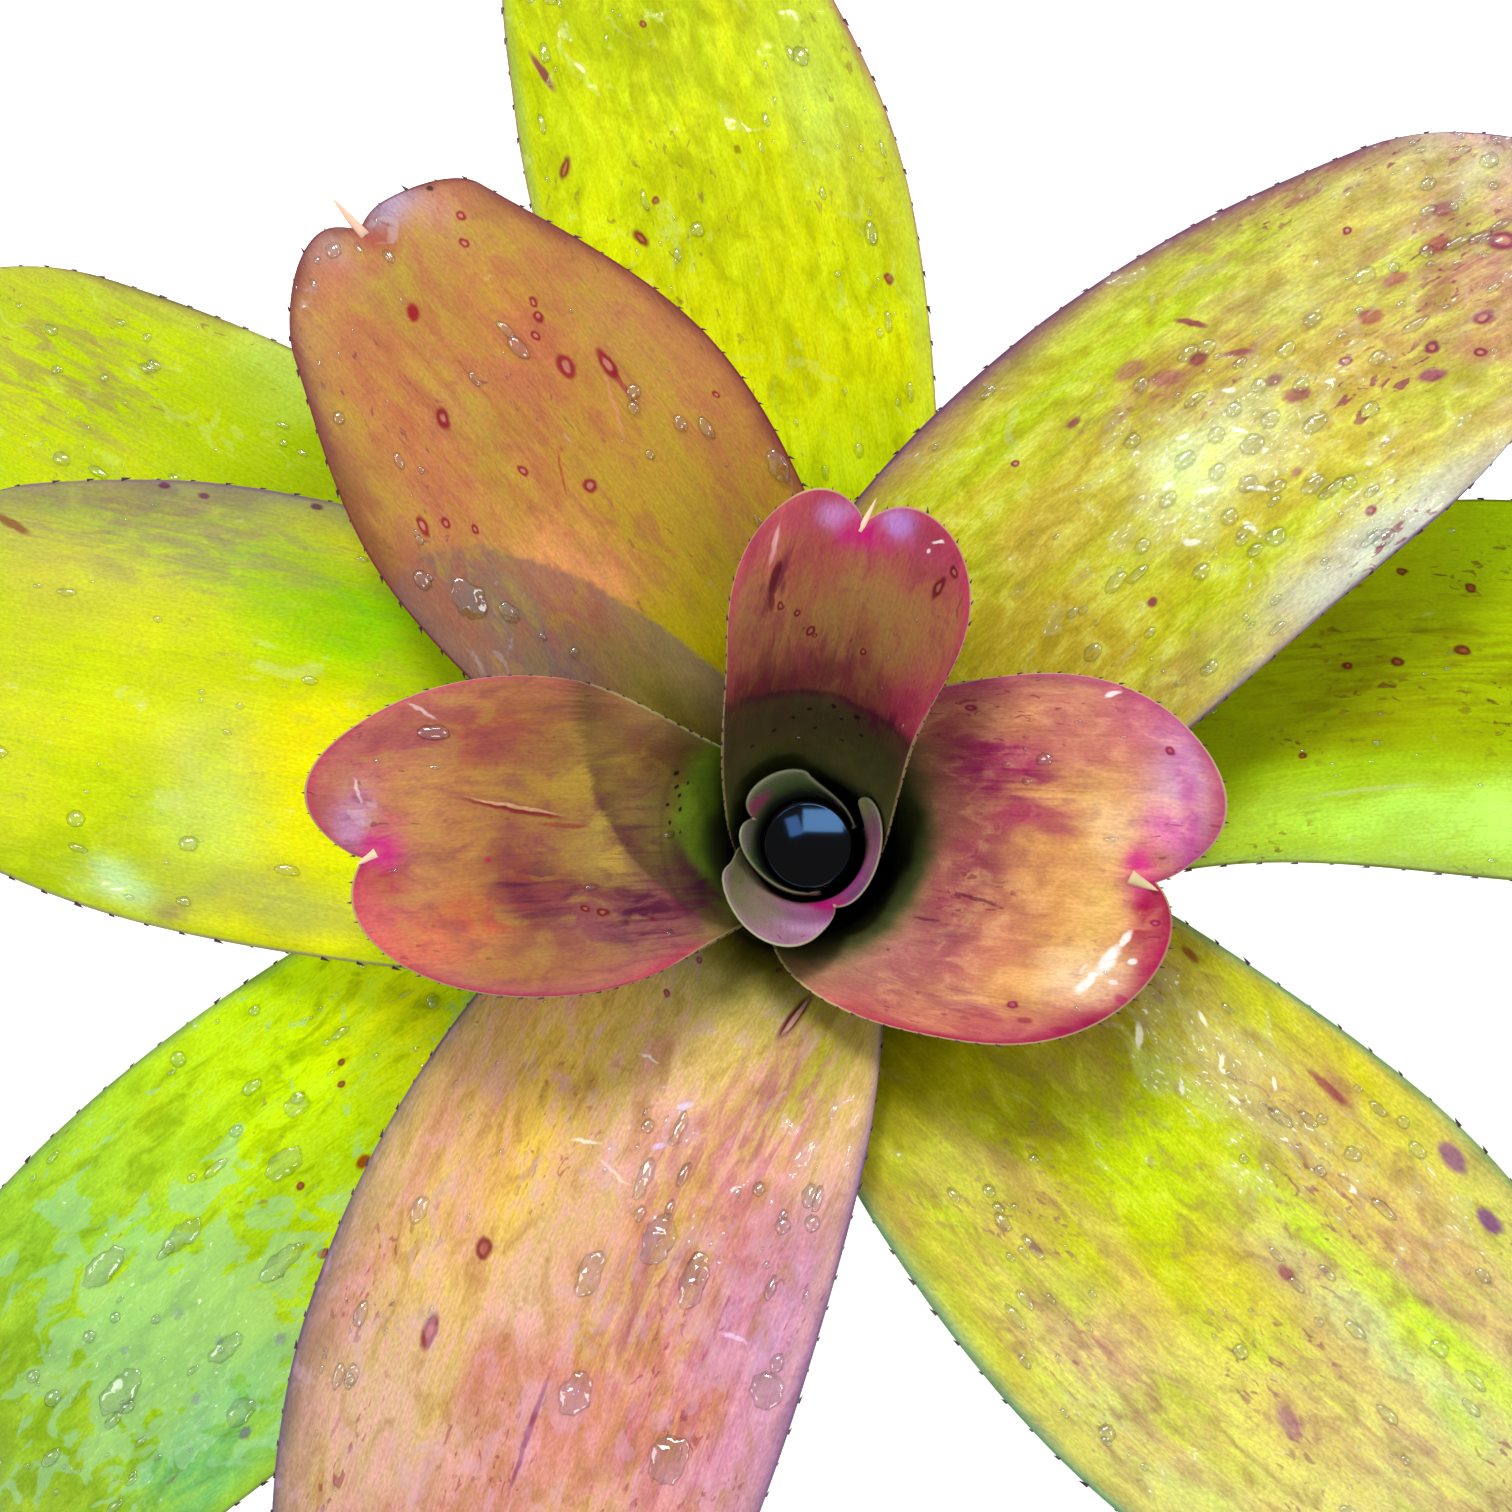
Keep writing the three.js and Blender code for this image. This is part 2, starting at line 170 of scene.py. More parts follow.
def turned(profile, sides, ripple=None):
    """Points and faces of a closed turned body; the profile's two ends lie on the axis."""
    profile = np.asarray(profile, dtype=float)
    turns = np.linspace(0, 2 * math.pi, sides, endpoint=False)
    radius = profile[1:-1, 0][:, None] * np.ones(sides)
    if ripple is not None:
        radius = radius + ripple(profile[1:-1, 1][:, None], turns[None, :])
    ring = np.stack([radius * np.cos(turns), radius * np.sin(turns),
                     np.repeat(profile[1:-1, 1][:, None], sides, axis=1)], -1)
    points = np.concatenate([ring.reshape(-1, 3), [[0, 0, profile[0, 1]], [0, 0, profile[-1, 1]]]])
    return points, ring_faces(len(profile) - 2, sides)


# radii and heights in mm: the stub with its scars, then the cone, which runs inwards and up
STUB_RADIUS, STUB_TOP, STUB_GROOVES = 23, 11, 9
SCAR_PITCH, SCAR_DEPTH = 3.6, 0.9
CONE_FOOT, CONE_RUN = (22.6, 11.5), (-16.0, 36.5)
stem_profile = [(0, 0), (12, 0), (20.2, 0), (20.8, 0.3)]
stem_profile += [(STUB_RADIUS - SCAR_DEPTH * abs(math.sin(math.pi * z / SCAR_PITCH)) ** 6, z)
                 for z in np.linspace(0.5, STUB_TOP, 36)]
stem_profile += [(CONE_FOOT[0] + CONE_RUN[0] * share, CONE_FOOT[1] + CONE_RUN[1] * share)
                 for share in np.linspace(0, 1, 12)]
stem_profile += [(6.2, 49.2), (4.8, 50.6), (2.5, 51.4), (0, 51.5)]

# Living stem tissue, pale where cut and corky brown outside, dry to the touch.
stem_skin, tree = new_material("corky_stem_tissue")
place = add(tree, "ShaderNodeTexCoord").outputs["Object"]
# fibres about 1 mm apart run up the stem
stretched = add(tree, "ShaderNodeVectorMath", {0: place, 1: (1000, 1000, 120)}, operation="MULTIPLY")
fibre = add(tree, "ShaderNodeTexNoise", {"Vector": stretched, "Scale": 1.0, "Detail": 3.0})
bark = add(tree, "ShaderNodeValToRGB", {0: fibre})
for stop, position, code in zip(bark.color_ramp.elements, (0.35, 0.68), ("#5C4A2C", "#A08A58")):
    stop.position, stop.color = position, linear(code)
height = add(tree, "ShaderNodeSeparateXYZ", {0: place}).outputs["Z"]
cut = add(tree, "ShaderNodeMapRange", {0: height, 1: 0.0001, 2: 0.0006, 3: 1.0, 4: 0.0})
fresh = add(tree, "ShaderNodeMix", {0: cut, 6: bark, 7: linear("#C9B98A")}, data_type="RGBA").outputs[2]
grooves = add(tree, "ShaderNodeBump", {"Height": fibre, "Strength": 0.5, "Distance": 0.0006})
skin = add(tree, "ShaderNodeBsdfPrincipled", {"Base Color": fresh, "Roughness": 0.8, "Normal": grooves})
add(tree, "ShaderNodeOutputMaterial", {"Surface": skin})

stem_points, stem_faces = turned(
    stem_profile, 96, lambda z, a: 0.25 * np.sin(STUB_GROOVES * a + 0.5 * z) * (z < STUB_TOP) * (z > 0.2))
stem = make_piece("cut_stem", stem_points, stem_faces, stem_skin)
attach(stem, "root")
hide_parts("stem")


# ---- Tank water ----------------------------------------------------------------------------
# Still rainwater held by the innermost leaf. It looks black, because light that goes down the
# cup hardly comes back, and it creeps a little up the wet wall all round.

WATER_LEVEL = 92.0
# Clear water over the cup's dark depth: a black body, painted shade, under a mirror-smooth skin.
water_look, tree = new_material("still_rainwater")
still = add(tree, "ShaderNodeBsdfPrincipled", {
    "Base Color": linear("#020304"), "Roughness": 0.02, "IOR": 1.33, "Specular IOR Level": 0.3})
add(tree, "ShaderNodeOutputMaterial", {"Surface": still})
creep = [(9.2 + 0.9 * share, WATER_LEVEL + 0.7 * share ** 3) for share in np.linspace(0, 1, 10)]
water_profile = [(0, 53), (6.7, 53), (7.4, 56), (8.6, 62), (9.3, 72), (9.6, 86), (10.1, WATER_LEVEL + 0.6)]
water_profile += creep[::-1]
water_profile += [(radius, WATER_LEVEL) for radius in (9.0, 8.8, 5, 0)]
water = make_piece("still_tank_water", *turned(water_profile, 72), water_look)
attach(water, "root")
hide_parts("tank_water")


# ---- Heart leaves --------------------------------------------------------------------------
# The five youngest leaves: tough, fleshy straps whose sheaths roll round the cup. They ripen to
# rose and copper from the tip down, and each ends in two round lobes with a spike between.

COUNT = 14
FOOT = {"radius": (8, 24.6), "height": (48, 12), "clasp": 105}
NECK = {"radius": 11, "pitch": 2.35, "height": (96, 66)}
LEAN = (0.24, 0.4)
THICKNESS = {"sheath": 1.2, "blade": 1.0, "margin": 0.4}
MARGIN_WIDTH = 2.2
NOTCH_WIDTH = 0.12
CREASE = (0.2, 9)
WAVES = 2.6
SHEATH_ROWS = 12
BEYOND_TIP = 30
# how far pigment strays from its outline, in mm, in broad waves and in strokes along the veins
BROAD_STRAY, STROKE_STRAY = 3.0, 1.8
# chance fields over a leaf: their grain in mm along and across it, and the seed of the first leaf
FIELDS = {"lift": ((15, 9), 40), "strokes": ((6, 2.2), 60), "broad": ((12, 8), 80),
          "aside": ((9, 6), 100), "swarm": ((22, 14), 700)}


def smooth(low, high, values):
    """0 below the low value, 1 above the high one, and an even S between."""
    share = np.clip((values - low) / (high - low), 0, 1)
    return share * share * (3 - 2 * share)


def through(stations, share):
    """A smooth curve through evenly spaced stations."""
    stations = np.asarray(stations, dtype=float)
    last = len(stations) - 1
    at = np.clip(share, 0, 1) * last
    i = np.minimum(at.astype(int), last - 1)
    t = at - i
    a, b, c, d = (stations[np.clip(i + k, 0, last)] for k in (-1, 0, 1, 2))
    return 0.5 * (2 * b + (c - a) * t + (2 * a - 5 * b + 4 * c - d) * t**2 + (3 * b - a - 3 * c + d) * t**3)


def uneven(a, b, field, order):
    """Smooth chance values from -1 to 1 over a leaf, in the grain of the named field."""
    grain, seed = FIELDS[field]
    table = np.random.RandomState(seed + order).uniform(-1, 1, (64, 64))
    x, y = a / grain[0] + 200, b / grain[1] + 200
    i, j = np.floor(x).astype(int), np.floor(y).astype(int)
    x, y = smooth(0, 1, x - i), smooth(0, 1, y - j)
    near, far = (table[k % 64, j % 64] * (1 - y) + table[k % 64, (j + 1) % 64] * y for k in (i, i + 1))
    return near * (1 - x) + far * x


def midrib(leaf, order):
    """The leaf's middle line as radius and height, with the lengths along it."""
    age = order / (COUNT - 1)
    foot = np.array([np.interp(age, (0, 1), FOOT["radius"]), np.interp(age, (0, 1), FOOT["height"])])
    neck = np.array([NECK["radius"] + NECK["pitch"] * order, np.interp(age, (0, 1), NECK["height"])])
    tip = np.array([leaf["reach"], leaf["rise"]], dtype=float)
    slope = math.radians(leaf["slope"])
    way = np.array([math.cos(slope), math.sin(slope)])
    span = np.linalg.norm(tip - neck)
    turn = np.linspace(-math.pi / 2, 0, 41)
    sheath = np.stack([foot[0] + (neck[0] - foot[0]) * np.cos(turn),
                       neck[1] + (neck[1] - foot[1]) * np.sin(turn)], -1)
    t = np.linspace(0, 1, 161)[:, None]
    lower, upper = neck + LEAN[0] * span * np.array([0.0, 1.0]), tip - LEAN[1] * span * way
    blade = (1 - t)**3 * neck + 3 * (1 - t)**2 * t * lower + 3 * (1 - t) * t**2 * upper + t**3 * tip
    line = np.concatenate([sheath, blade[1:], [tip + BEYOND_TIP * way]])
    lengths = np.concatenate([[0], np.cumsum(np.linalg.norm(np.diff(line, axis=0), axis=1))])
    return {"line": line, "lengths": lengths, "foot": foot[0], "neck": lengths[len(sheath) - 1],
            "tip": lengths[-2]}


def end_line(leaf, rib, v):
    """How far along the leaf its end lies: round shoulders, two lobes and the notch between."""
    edge = np.abs(v)
    shoulder = np.where(v > 0, *leaf["shoulders"]) * (1 - np.sqrt(np.maximum(1 - edge**2.2, 0)))
    lobe = np.where(v > 0, *leaf["lobes"]) * np.sin(np.pi * edge**0.8)
    return rib["tip"] - shoulder + lobe - leaf["notch"] * np.exp(-edge / NOTCH_WIDTH)


def lay(leaf, order, rib, s, v):
    """Points of the leaf's middle surface, its share along the blade and its half width."""
    radius, height = (np.interp(s, rib["lengths"], side) for side in rib["line"].T)
    out, up = (np.interp(s + 0.5, rib["lengths"], side) - np.interp(s - 0.5, rib["lengths"], side)
               for side in rib["line"].T)
    size = np.maximum(np.hypot(out, up), 1e-9)
    out, up = out / size, up / size
    along = np.clip((s - rib["neck"]) / (rib["tip"] - rib["neck"]), 0, 1)
    clasp = rib["foot"] * math.radians(FOOT["clasp"])
    grown = np.sin(np.clip(s / rib["neck"], 0, 1) * math.pi / 2)
    half = np.where(along > 0, through(leaf["half_widths"], along),
                    clasp + (leaf["half_widths"][0] - clasp) * grown)
    drift = leaf["bow"] * np.sin(np.pi * along) + leaf["sway"] * along**2
    angle = math.radians(leaf["azimuth"]) + (v * half + drift) / radius
    edge = np.abs(v)
    # the margins wave, and no two leaves or sides wave in step
    ripple = np.sin(2 * np.pi * (WAVES * along + 0.37 * order) + np.where(v > 0, 1.9, 0.0))
    turned_down = np.clip((along - 0.6) / 0.4, 0, 1) ** 2
    pleat = np.exp(-(v / CREASE[0])**2 - ((rib["tip"] - s) / CREASE[1])**2)
    lift = leaf["channel"] * along * v**2 + leaf["wave"] * ripple * along * edge**3
    lift = lift - leaf["roll"] * turned_down * v**2 - leaf["crease"] * pleat
    # soft unevenness of the blade, a few tenths of a millimetre, that breaks up reflections
    lift = lift + leaf["uneven"] * smooth(0.1, 0.5, along) * uneven(s, v * half, "lift", order)
    radius = radius - up * lift
    points = np.stack([radius * np.cos(angle), radius * np.sin(angle), height + out * lift], -1)
    return points, along, half


def oval(along, across, a, b, long, wide, tilt=0):
    """1 inside a soft oval on the leaf, 0 well outside it; long and wide are half lengths in mm."""
    a, b = along - a, across - b
    turn = math.radians(tilt)
    a, b = a * math.cos(turn) + b * math.sin(turn), b * math.cos(turn) - a * math.sin(turn)
    return np.exp(-((a / long)**2 + (b / wide)**2) ** 1.4)


def paint(leaf, order, from_tip, across, along, v, rim):
    """The leaf's large soft colours, with painted shade, light and sheen among them, and how much brushed
    pigment and water film each place has.
    """
    # pigment runs unevenly, so outlines are ragged, less so at the tip, and drawn out along the veins
    loose = 0.3 + 0.7 * smooth(4, 22, from_tip)
    broad, strokes = (loose * uneven(from_tip, across, field, order) for field in ("broad", "strokes"))
    far = from_tip + BROAD_STRAY * broad + STROKE_STRAY * strokes
    aside = across + 1.8 * uneven(from_tip, across, "aside", order) + 0.6 * strokes
    stops, codes = zip(*leaf["colours"])
    shades = np.array([linear(code) for code in codes])
    run = from_tip + leaf["stroke"] * (BROAD_STRAY * broad + STROKE_STRAY * strokes)
    seat = np.where(along > 0, np.clip(1 - run / leaf["blade"], 0, 1), 0)
    colour = np.stack([np.interp(seat, stops, shades[:, k]) for k in range(4)], -1)
    layers = []
    for width, code, strength, start, side in leaf["edges"]:
        share = strength * (1 - smooth(0.1, 1.0, (rim + 0.12 * width * (broad + strokes)) / width))
        layers.append((share * smooth(start - 0.15, start + 0.15, along) * (v * side >= 0), code))
    for *place, code, strength in leaf["patches"]:
        layers.append((strength * oval(far, aside, *place), code))
    # each line colours what lies rootward of it, fading over its length; most lines are painted cast shadows
    # with sharp edges
    for place, slant, bend, fade, code, strength in leaf["lines"]:
        past = from_tip + 0.5 * strokes + 0.8 * broad - place - slant * v - bend * v**2
        layers.append((strength * smooth(-0.5, 0.7, past) * (1 - smooth(0, fade, past)), code))
    for share, code in layers:
        colour = colour + share[..., None] * (np.array(linear(code)) - colour)
    # the depth of the cup takes light away, and the pigment there is paler than it looks
    shares, gains = zip(*leaf["bright"])
    colour = colour * np.interp(along, shares, gains)[..., None]
    none = np.zeros_like(rim)
    brush = sum((strength * oval(far, aside, *place) for *place, strength in leaf["brushed"]), none)
    film = sum((strength * oval(from_tip + 2 * broad, aside, *place)
                for *place, strength in leaf["films"]), none)
    return np.clip(colour, 0, 1), brush, film


def horn(foot, along, across, normal, length, width):
    """A curved, tapering spike of eight sides that starts inside the leaf."""
    rings, sides = 7, 8
    points = []
    for share in (i / (rings - 1) for i in range(rings)):
        middle = foot + along * (length + 2) * share - along * 2 + normal * (0.3 * length * share**2)
        size = width * (1 - share) ** 0.75 + 0.05
        for turn in (2 * math.pi * j / sides for j in range(sides)):
            points.append(middle + across * size * math.cos(turn) + normal * 0.7 * size * math.sin(turn))
    points += [foot - along * 2, foot + along * (length + 0.15) + normal * 0.31 * length]
    return points, ring_faces(rings, sides)


margins = []  # the margin lines that the spines stand on, kept for their section
leaves = []  # every leaf with its order and midrib, kept for the rain drops


def leaf_body(name, leaf, order, material):
    """One leaf as a closed body: two faces, a thin rim and the tip's spike."""
    rib = midrib(leaf, order)
    leaf["blade"] = rib["tip"] - rib["neck"]
    blade_rows, half_columns = leaf["fineness"]
    # columns stand closer along the midrib and at the margins
    x = np.linspace(-1, 1, 2 * half_columns + 1)
    columns_at = np.sin(math.pi / 2 * x * (0.45 + 0.55 * x**2))
    neck_share = rib["neck"] / rib["tip"]
    rows_at = np.concatenate([np.linspace(0, neck_share, SHEATH_ROWS, endpoint=False),
                              np.linspace(neck_share, 1, blade_rows)])
    u, v = np.meshgrid(rows_at, columns_at, indexing="ij")
    end = end_line(leaf, rib, v)
    s = u * end
    points, along, half = lay(leaf, order, rib, s, v)
    forward = np.gradient(points, axis=0)
    forward /= np.linalg.norm(forward, axis=-1, keepdims=True)
    sideways = np.gradient(points, axis=1)
    normal = np.cross(forward, sideways)
    normal /= np.linalg.norm(normal, axis=-1, keepdims=True)
    across = v * half
    rim = np.minimum((1 - np.abs(v)) * half, end - s)
    thick = THICKNESS["sheath"] + (THICKNESS["blade"] - THICKNESS["sheath"]) * np.clip(s / rib["neck"], 0, 1)
    full = smooth(0, MARGIN_WIDTH, rim)
    thick = np.where(along > 0, THICKNESS["margin"] + (thick - THICKNESS["margin"]) * full, thick)[..., None]
    upper, lower = points + normal * thick / 2, points - normal * thick / 2

    rows, columns = u.shape
    index = np.arange(rows * columns).reshape(rows, columns)
    a, b, c, d = index[:-1, :-1], index[:-1, 1:], index[1:, 1:], index[1:, :-1]
    top = np.stack([a, d, c, b], -1).reshape(-1, 4)
    under = np.stack([a, b, c, d], -1).reshape(-1, 4) + rows * columns
    border = np.concatenate([index[0, :-1], index[:-1, -1], index[-1, :0:-1], index[:0:-1, 0]])
    ahead_of = np.roll(border, -1)
    edge = np.stack([border, ahead_of, ahead_of + rows * columns, border + rows * columns], -1)
    out, up = forward[-1, half_columns], normal[-1, half_columns]
    aside, (set_back, turn) = np.cross(up, out), leaf["spike_seat"]
    foot = points[-1, half_columns] - set_back * out
    out = out * math.cos(math.radians(turn)) + aside * math.sin(math.radians(turn))
    spike, spike_faces = horn(foot, out, np.cross(up, out), up, leaf["spike"], leaf["spike_width"])
    total = 2 * rows * columns
    faces = [*top.tolist(), *under.tolist(), *edge.tolist()]
    faces += [tuple(k + total for k in face) for face in spike_faces]

    from_tip = rib["tip"] - s
    tint, brush, film = paint(leaf, order, from_tip, across, along, v, rim)
    tint, film = tint.reshape(-1, 4), film.ravel()
    tint_under = tint * 0.6 + 0.4 * np.array(linear(leaf["under"]))
    spike_tint = np.repeat([linear(leaf["spike_colour"])], len(spike), axis=0)
    place = np.stack([from_tip, across, np.zeros_like(s)], -1).reshape(-1, 3)
    zone = np.stack([rim, along, brush], -1).reshape(-1, 3)
    body = np.concatenate([upper.reshape(-1, 3), lower.reshape(-1, 3), spike])
    made = make_piece(name, body, faces, material, {
        "tint": np.concatenate([tint, tint_under, spike_tint]),
        "lay": np.concatenate([place, place + (0, 0, 1), np.repeat([(0, 0, 2)], len(spike), axis=0)]),
        "zone": np.concatenate([zone, zone * (1, 1, 0), np.repeat([(9, 0, 0)], len(spike), axis=0)]),
        "film": np.concatenate([film, 0 * film - 1, np.full(len(spike), -1.0)]),
    })
    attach(made, "root")
    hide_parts(f"leaf_{order + 1:02d}")
    leaves.append((leaf, order, rib))
    for column, side in ((0, -1), (columns - 1, 1)):
        tip_half = slice(0, half_columns) if side < 0 else slice(columns - 1, half_columns, -1)
        outward = sideways[SHEATH_ROWS:, column] * side
        outward = outward / np.linalg.norm(outward, axis=-1, keepdims=True)
        margins.append({
            "line": np.concatenate([points[SHEATH_ROWS:, column], points[-1, tip_half][1:]]),
            "out": np.concatenate([outward, forward[-1, tip_half][1:]]),
            "way": np.concatenate([forward[SHEATH_ROWS:, column], forward[-1, tip_half][1:]]),
        })
    return made


# Noise over the leaf: grains per mm along and across, detail, and how much the grain is bent.
GRAINS = {
    "cloud": ((0.030, 0.060), 5.0, 0.8), "mottle": ((0.11, 0.22), 6.0, 0.9),
    "brush": ((0.08, 0.30), 6.0, 0.7), "streak": ((0.035, 0.75), 3.0, 0.15),
    "vein": ((0.02, 1.5), 2.0, 0.0), "cell": ((1.0, 2.0), 3.0, 0.0), "fleck": ((0.28, 0.62), 3.0, 0.6),
    "swarm": ((0.030, 0.045), 2.0, 0.0), "film": ((0.10, 0.15), 3.0, 1.1), "dew": ((0.28, 0.42), 1.0, 0.4),
    "glint": ((0.5, 1.1), 1.0, 0.7),
}
# Kinds of clouding: the noise, and where in it the colour starts and is full.
CLOUDS = {"cloud": ("cloud", 0.44, 0.68), "gap": ("cloud", 0.52, 0.28),
          "mottle": ("mottle", 0.46, 0.70), "pit": ("mottle", 0.50, 0.28)}
RING_CELL = (15, 12)  # mm, with at most one scale-insect ring in each
OUT_OF_REACH = 9.0  # farther from any spot or ring than its colour goes


def oval_distance(tree, place, a, b, long, wide, tilt=0):
    """A node output: how far a place lies from the middle of an oval, 1 being the oval's edge."""
    moved = add(tree, "ShaderNodeVectorMath", {0: place, 1: (a, b, 0)}, operation="SUBTRACT")
    straight = add(tree, "ShaderNodeVectorRotate", {"Vector": moved, "Angle": math.radians(-tilt)},
                   rotation_type="Z_AXIS")
    scaled = add(tree, "ShaderNodeVectorMath", {0: straight, 1: (1 / long, 1 / wide, 0)},
                 operation="MULTIPLY")
    return add(tree, "ShaderNodeVectorMath", {0: scaled}, operation="LENGTH").outputs["Value"]


def leaf_look(name, leaf):
    """Wet living leaf skin: painted tint, parallel veins, brushed pigment, flecks, spots, film, and painted
    sheen and glints.
    """
    material, tree = new_material(name)
    place, tint, zone, wet = (add(tree, "ShaderNodeAttribute", attribute_name=label)
                              for label in ("lay", "tint", "zone", "film"))
    place, colour, wet = place.outputs["Vector"], tint.outputs["Color"], wet.outputs["Fac"]
    rim, along, brushed = add(tree, "ShaderNodeSeparateXYZ", {0: zone.outputs["Vector"]}).outputs
    shift = add(tree, "ShaderNodeVectorMath", {0: place, 1: (leaf["seed"] * 97.0, leaf["seed"] * 61.0, 0)})
    fields = {}
    for label, (scale, detail, bend) in GRAINS.items():
        scaled = add(tree, "ShaderNodeVectorMath", {0: shift, 1: (*scale, 1)}, operation="MULTIPLY")
        fields[label] = add(tree, "ShaderNodeTexNoise", {
            "Vector": scaled, "Scale": 1.0, "Detail": detail, "Distortion": bend})

    # clouding keeps to the blade and off its rim; flecks gather in swarms on the leaf's older part
    blade = add(tree, "ShaderNodeMapRange", {0: along, 1: leaf["clear"] - 0.08, 2: leaf["clear"] + 0.08})
    inside = add(tree, "ShaderNodeMapRange", {0: rim, 1: 1.0, 2: 9.0, 3: 0.15, 4: blade})
    inside = add(tree, "ShaderNodeMath", {0: inside, 1: blade}, operation="MINIMUM")
    swarm = add(tree, "ShaderNodeMapRange", {0: fields["swarm"], 1: 0.47, 2: 0.6})
    old = add(tree, "ShaderNodeMapRange", {0: along, 1: leaf["flecked"] - 0.1, 2: leaf["flecked"] + 0.1})
    swarm = add(tree, "ShaderNodeMath", {0: swarm, 1: old}, operation="MULTIPLY")
    # colour that comes in by noise: its field, where it starts and is full, amount, hex, held by
    layers = [(*CLOUDS[kind], amount, code, inside) for kind, amount, code in leaf["clouds"]]
    layers += [("brush", 0.44, 0.62, 0.95, leaf["brush_colour"], brushed),
               ("streak", 0.52, 0.62, 0.6, leaf["brush_colour"], brushed),
               ("fleck", *leaf["flecks"], swarm)]
    for field, low, high, amount, code, held in layers:
        share = add(tree, "ShaderNodeMapRange", {0: fields[field], 1: low, 2: high, 4: amount},
                    interpolation_type="SMOOTHSTEP")
        share = add(tree, "ShaderNodeMath", {0: share, 1: held}, operation="MULTIPLY", use_clamp=True)
        colour = add(tree, "ShaderNodeMix", {0: share, 6: colour, 7: linear(code)},
                     data_type="RGBA").outputs[2]

    # spots, scars and painted glints have ragged outlines: their places are shaken by up to half a millimetre
    shaken = add(tree, "ShaderNodeVectorMath", {0: fields["dew"].outputs["Color"], 1: (0.5, 0.5, 0.5)},
                 operation="SUBTRACT")
    shaken = add(tree, "ShaderNodeVectorMath", {0: shaken, 1: (1.6, 0.9, 0), 2: place},
                 operation="MULTIPLY_ADD")
    near = OUT_OF_REACH
    for spot in leaf["spots"]:
        far = oval_distance(tree, shaken, *spot)
        near = add(tree, "ShaderNodeMath", {0: far, 1: near}, operation="MINIMUM")
    # rings left by scale insects, 2 mm across, on one cell of many, beside the listed spots
    cells = add(tree, "ShaderNodeVectorMath", {0: shift, 1: (1 / RING_CELL[0], 1 / RING_CELL[1], 1)},
                operation="MULTIPLY")
    insect = add(tree, "ShaderNodeTexVoronoi", {"Vector": cells, "Scale": 1.0})
    chance = add(tree, "ShaderNodeSeparateColor", {0: insect.outputs["Color"]})
    spared = add(tree, "ShaderNodeMath", {0: chance, 1: 1 - leaf["rings"]}, operation="LESS_THAN")
    radii = add(tree, "ShaderNodeMath", {0: insect.outputs["Distance"], 1: RING_CELL[1]},
                operation="MULTIPLY")
    radii = add(tree, "ShaderNodeMath", {0: spared, 1: OUT_OF_REACH, 2: radii}, operation="MULTIPLY_ADD")
    near = add(tree, "ShaderNodeMath", {0: near, 1: radii}, operation="MINIMUM")
    # each: the distance from it, where in that its colour starts and is full, hex, amount
    ring_code, core_code = leaf["ring_colours"]
    layers = [(oval_distance(tree, shaken, *seat), 1.3, 0.6, code, amount)
              for *seat, code, amount in leaf["marks"]]
    layers += [(near, 1.35, 0.8, ring_code, 0.9), (near, 0.62, 0.3, core_code, 0.75)]
    for far, low, high, code, amount in layers:
        share = add(tree, "ShaderNodeMapRange", {0: far, 1: low, 2: high, 4: amount},
                    interpolation_type="SMOOTHSTEP")
        colour = add(tree, "ShaderNodeMix", {0: share, 6: colour, 7: linear(code)},
                     data_type="RGBA").outputs[2]

    # veins 0.7 mm apart, mottles of 5 mm and the skin's own cells, all faint
    value = 1.0
    for field, strength in (("vein", 1.2), ("mottle", 2.6), ("cell", 2.6)):
        amount = strength * leaf["vein"]
        grain = add(tree, "ShaderNodeMapRange", {
            0: fields[field], 1: 0.3, 2: 0.7, 3: 1 - amount, 4: 1 + amount})
        value = add(tree, "ShaderNodeMath", {0: grain, 1: value}, operation="MULTIPLY")
    colour = add(tree, "ShaderNodeHueSaturation", {"Color": colour, "Value": value})

    # a film of water lies in patches with steep, ragged shores; there the sheen colour is mixed in, a painted
    # reflection of the sky
    film = add(tree, "ShaderNodeMath", {0: fields["film"], 1: wet}, operation="ADD")
    shore, (sheen_code, sheen_amount, sheen_width) = leaf["shore"], leaf["sheen"]
    pool = add(tree, "ShaderNodeMapRange", {0: film, 1: shore, 2: shore + 0.035},
               interpolation_type="SMOOTHSTEP")
    painted_sky_sheen = add(tree, "ShaderNodeMapRange", {
        0: film, 1: shore - sheen_width, 2: shore + sheen_width, 4: sheen_amount},
        interpolation_type="SMOOTHSTEP")
    # short white dashes where the film's ripples catch the sky
    dash = add(tree, "ShaderNodeMapRange", {0: fields["glint"], 1: leaf["glints"], 2: leaf["glints"] + 0.03})
    dash = add(tree, "ShaderNodeMath", {0: dash, 1: pool}, operation="MULTIPLY")
    # the horny margin, a thin line that comes and goes
    margin_code, margin_width, margin_amount = leaf["margin"]
    line = add(tree, "ShaderNodeMapRange", {
        0: rim, 1: margin_width, 2: margin_width * 0.35, 4: margin_amount})
    fades = add(tree, "ShaderNodeMapRange", {0: fields["cloud"], 1: 0.35, 2: 0.55, 3: 0.45, 4: 1.0})
    line = add(tree, "ShaderNodeMath", {0: line, 1: fades}, operation="MULTIPLY")
    for share, code in ((painted_sky_sheen, sheen_code), (dash, "#FFFFE4"), (line, margin_code)):
        colour = add(tree, "ShaderNodeMix", {0: share, 6: colour, 7: linear(code)},
                     data_type="RGBA").outputs[2]

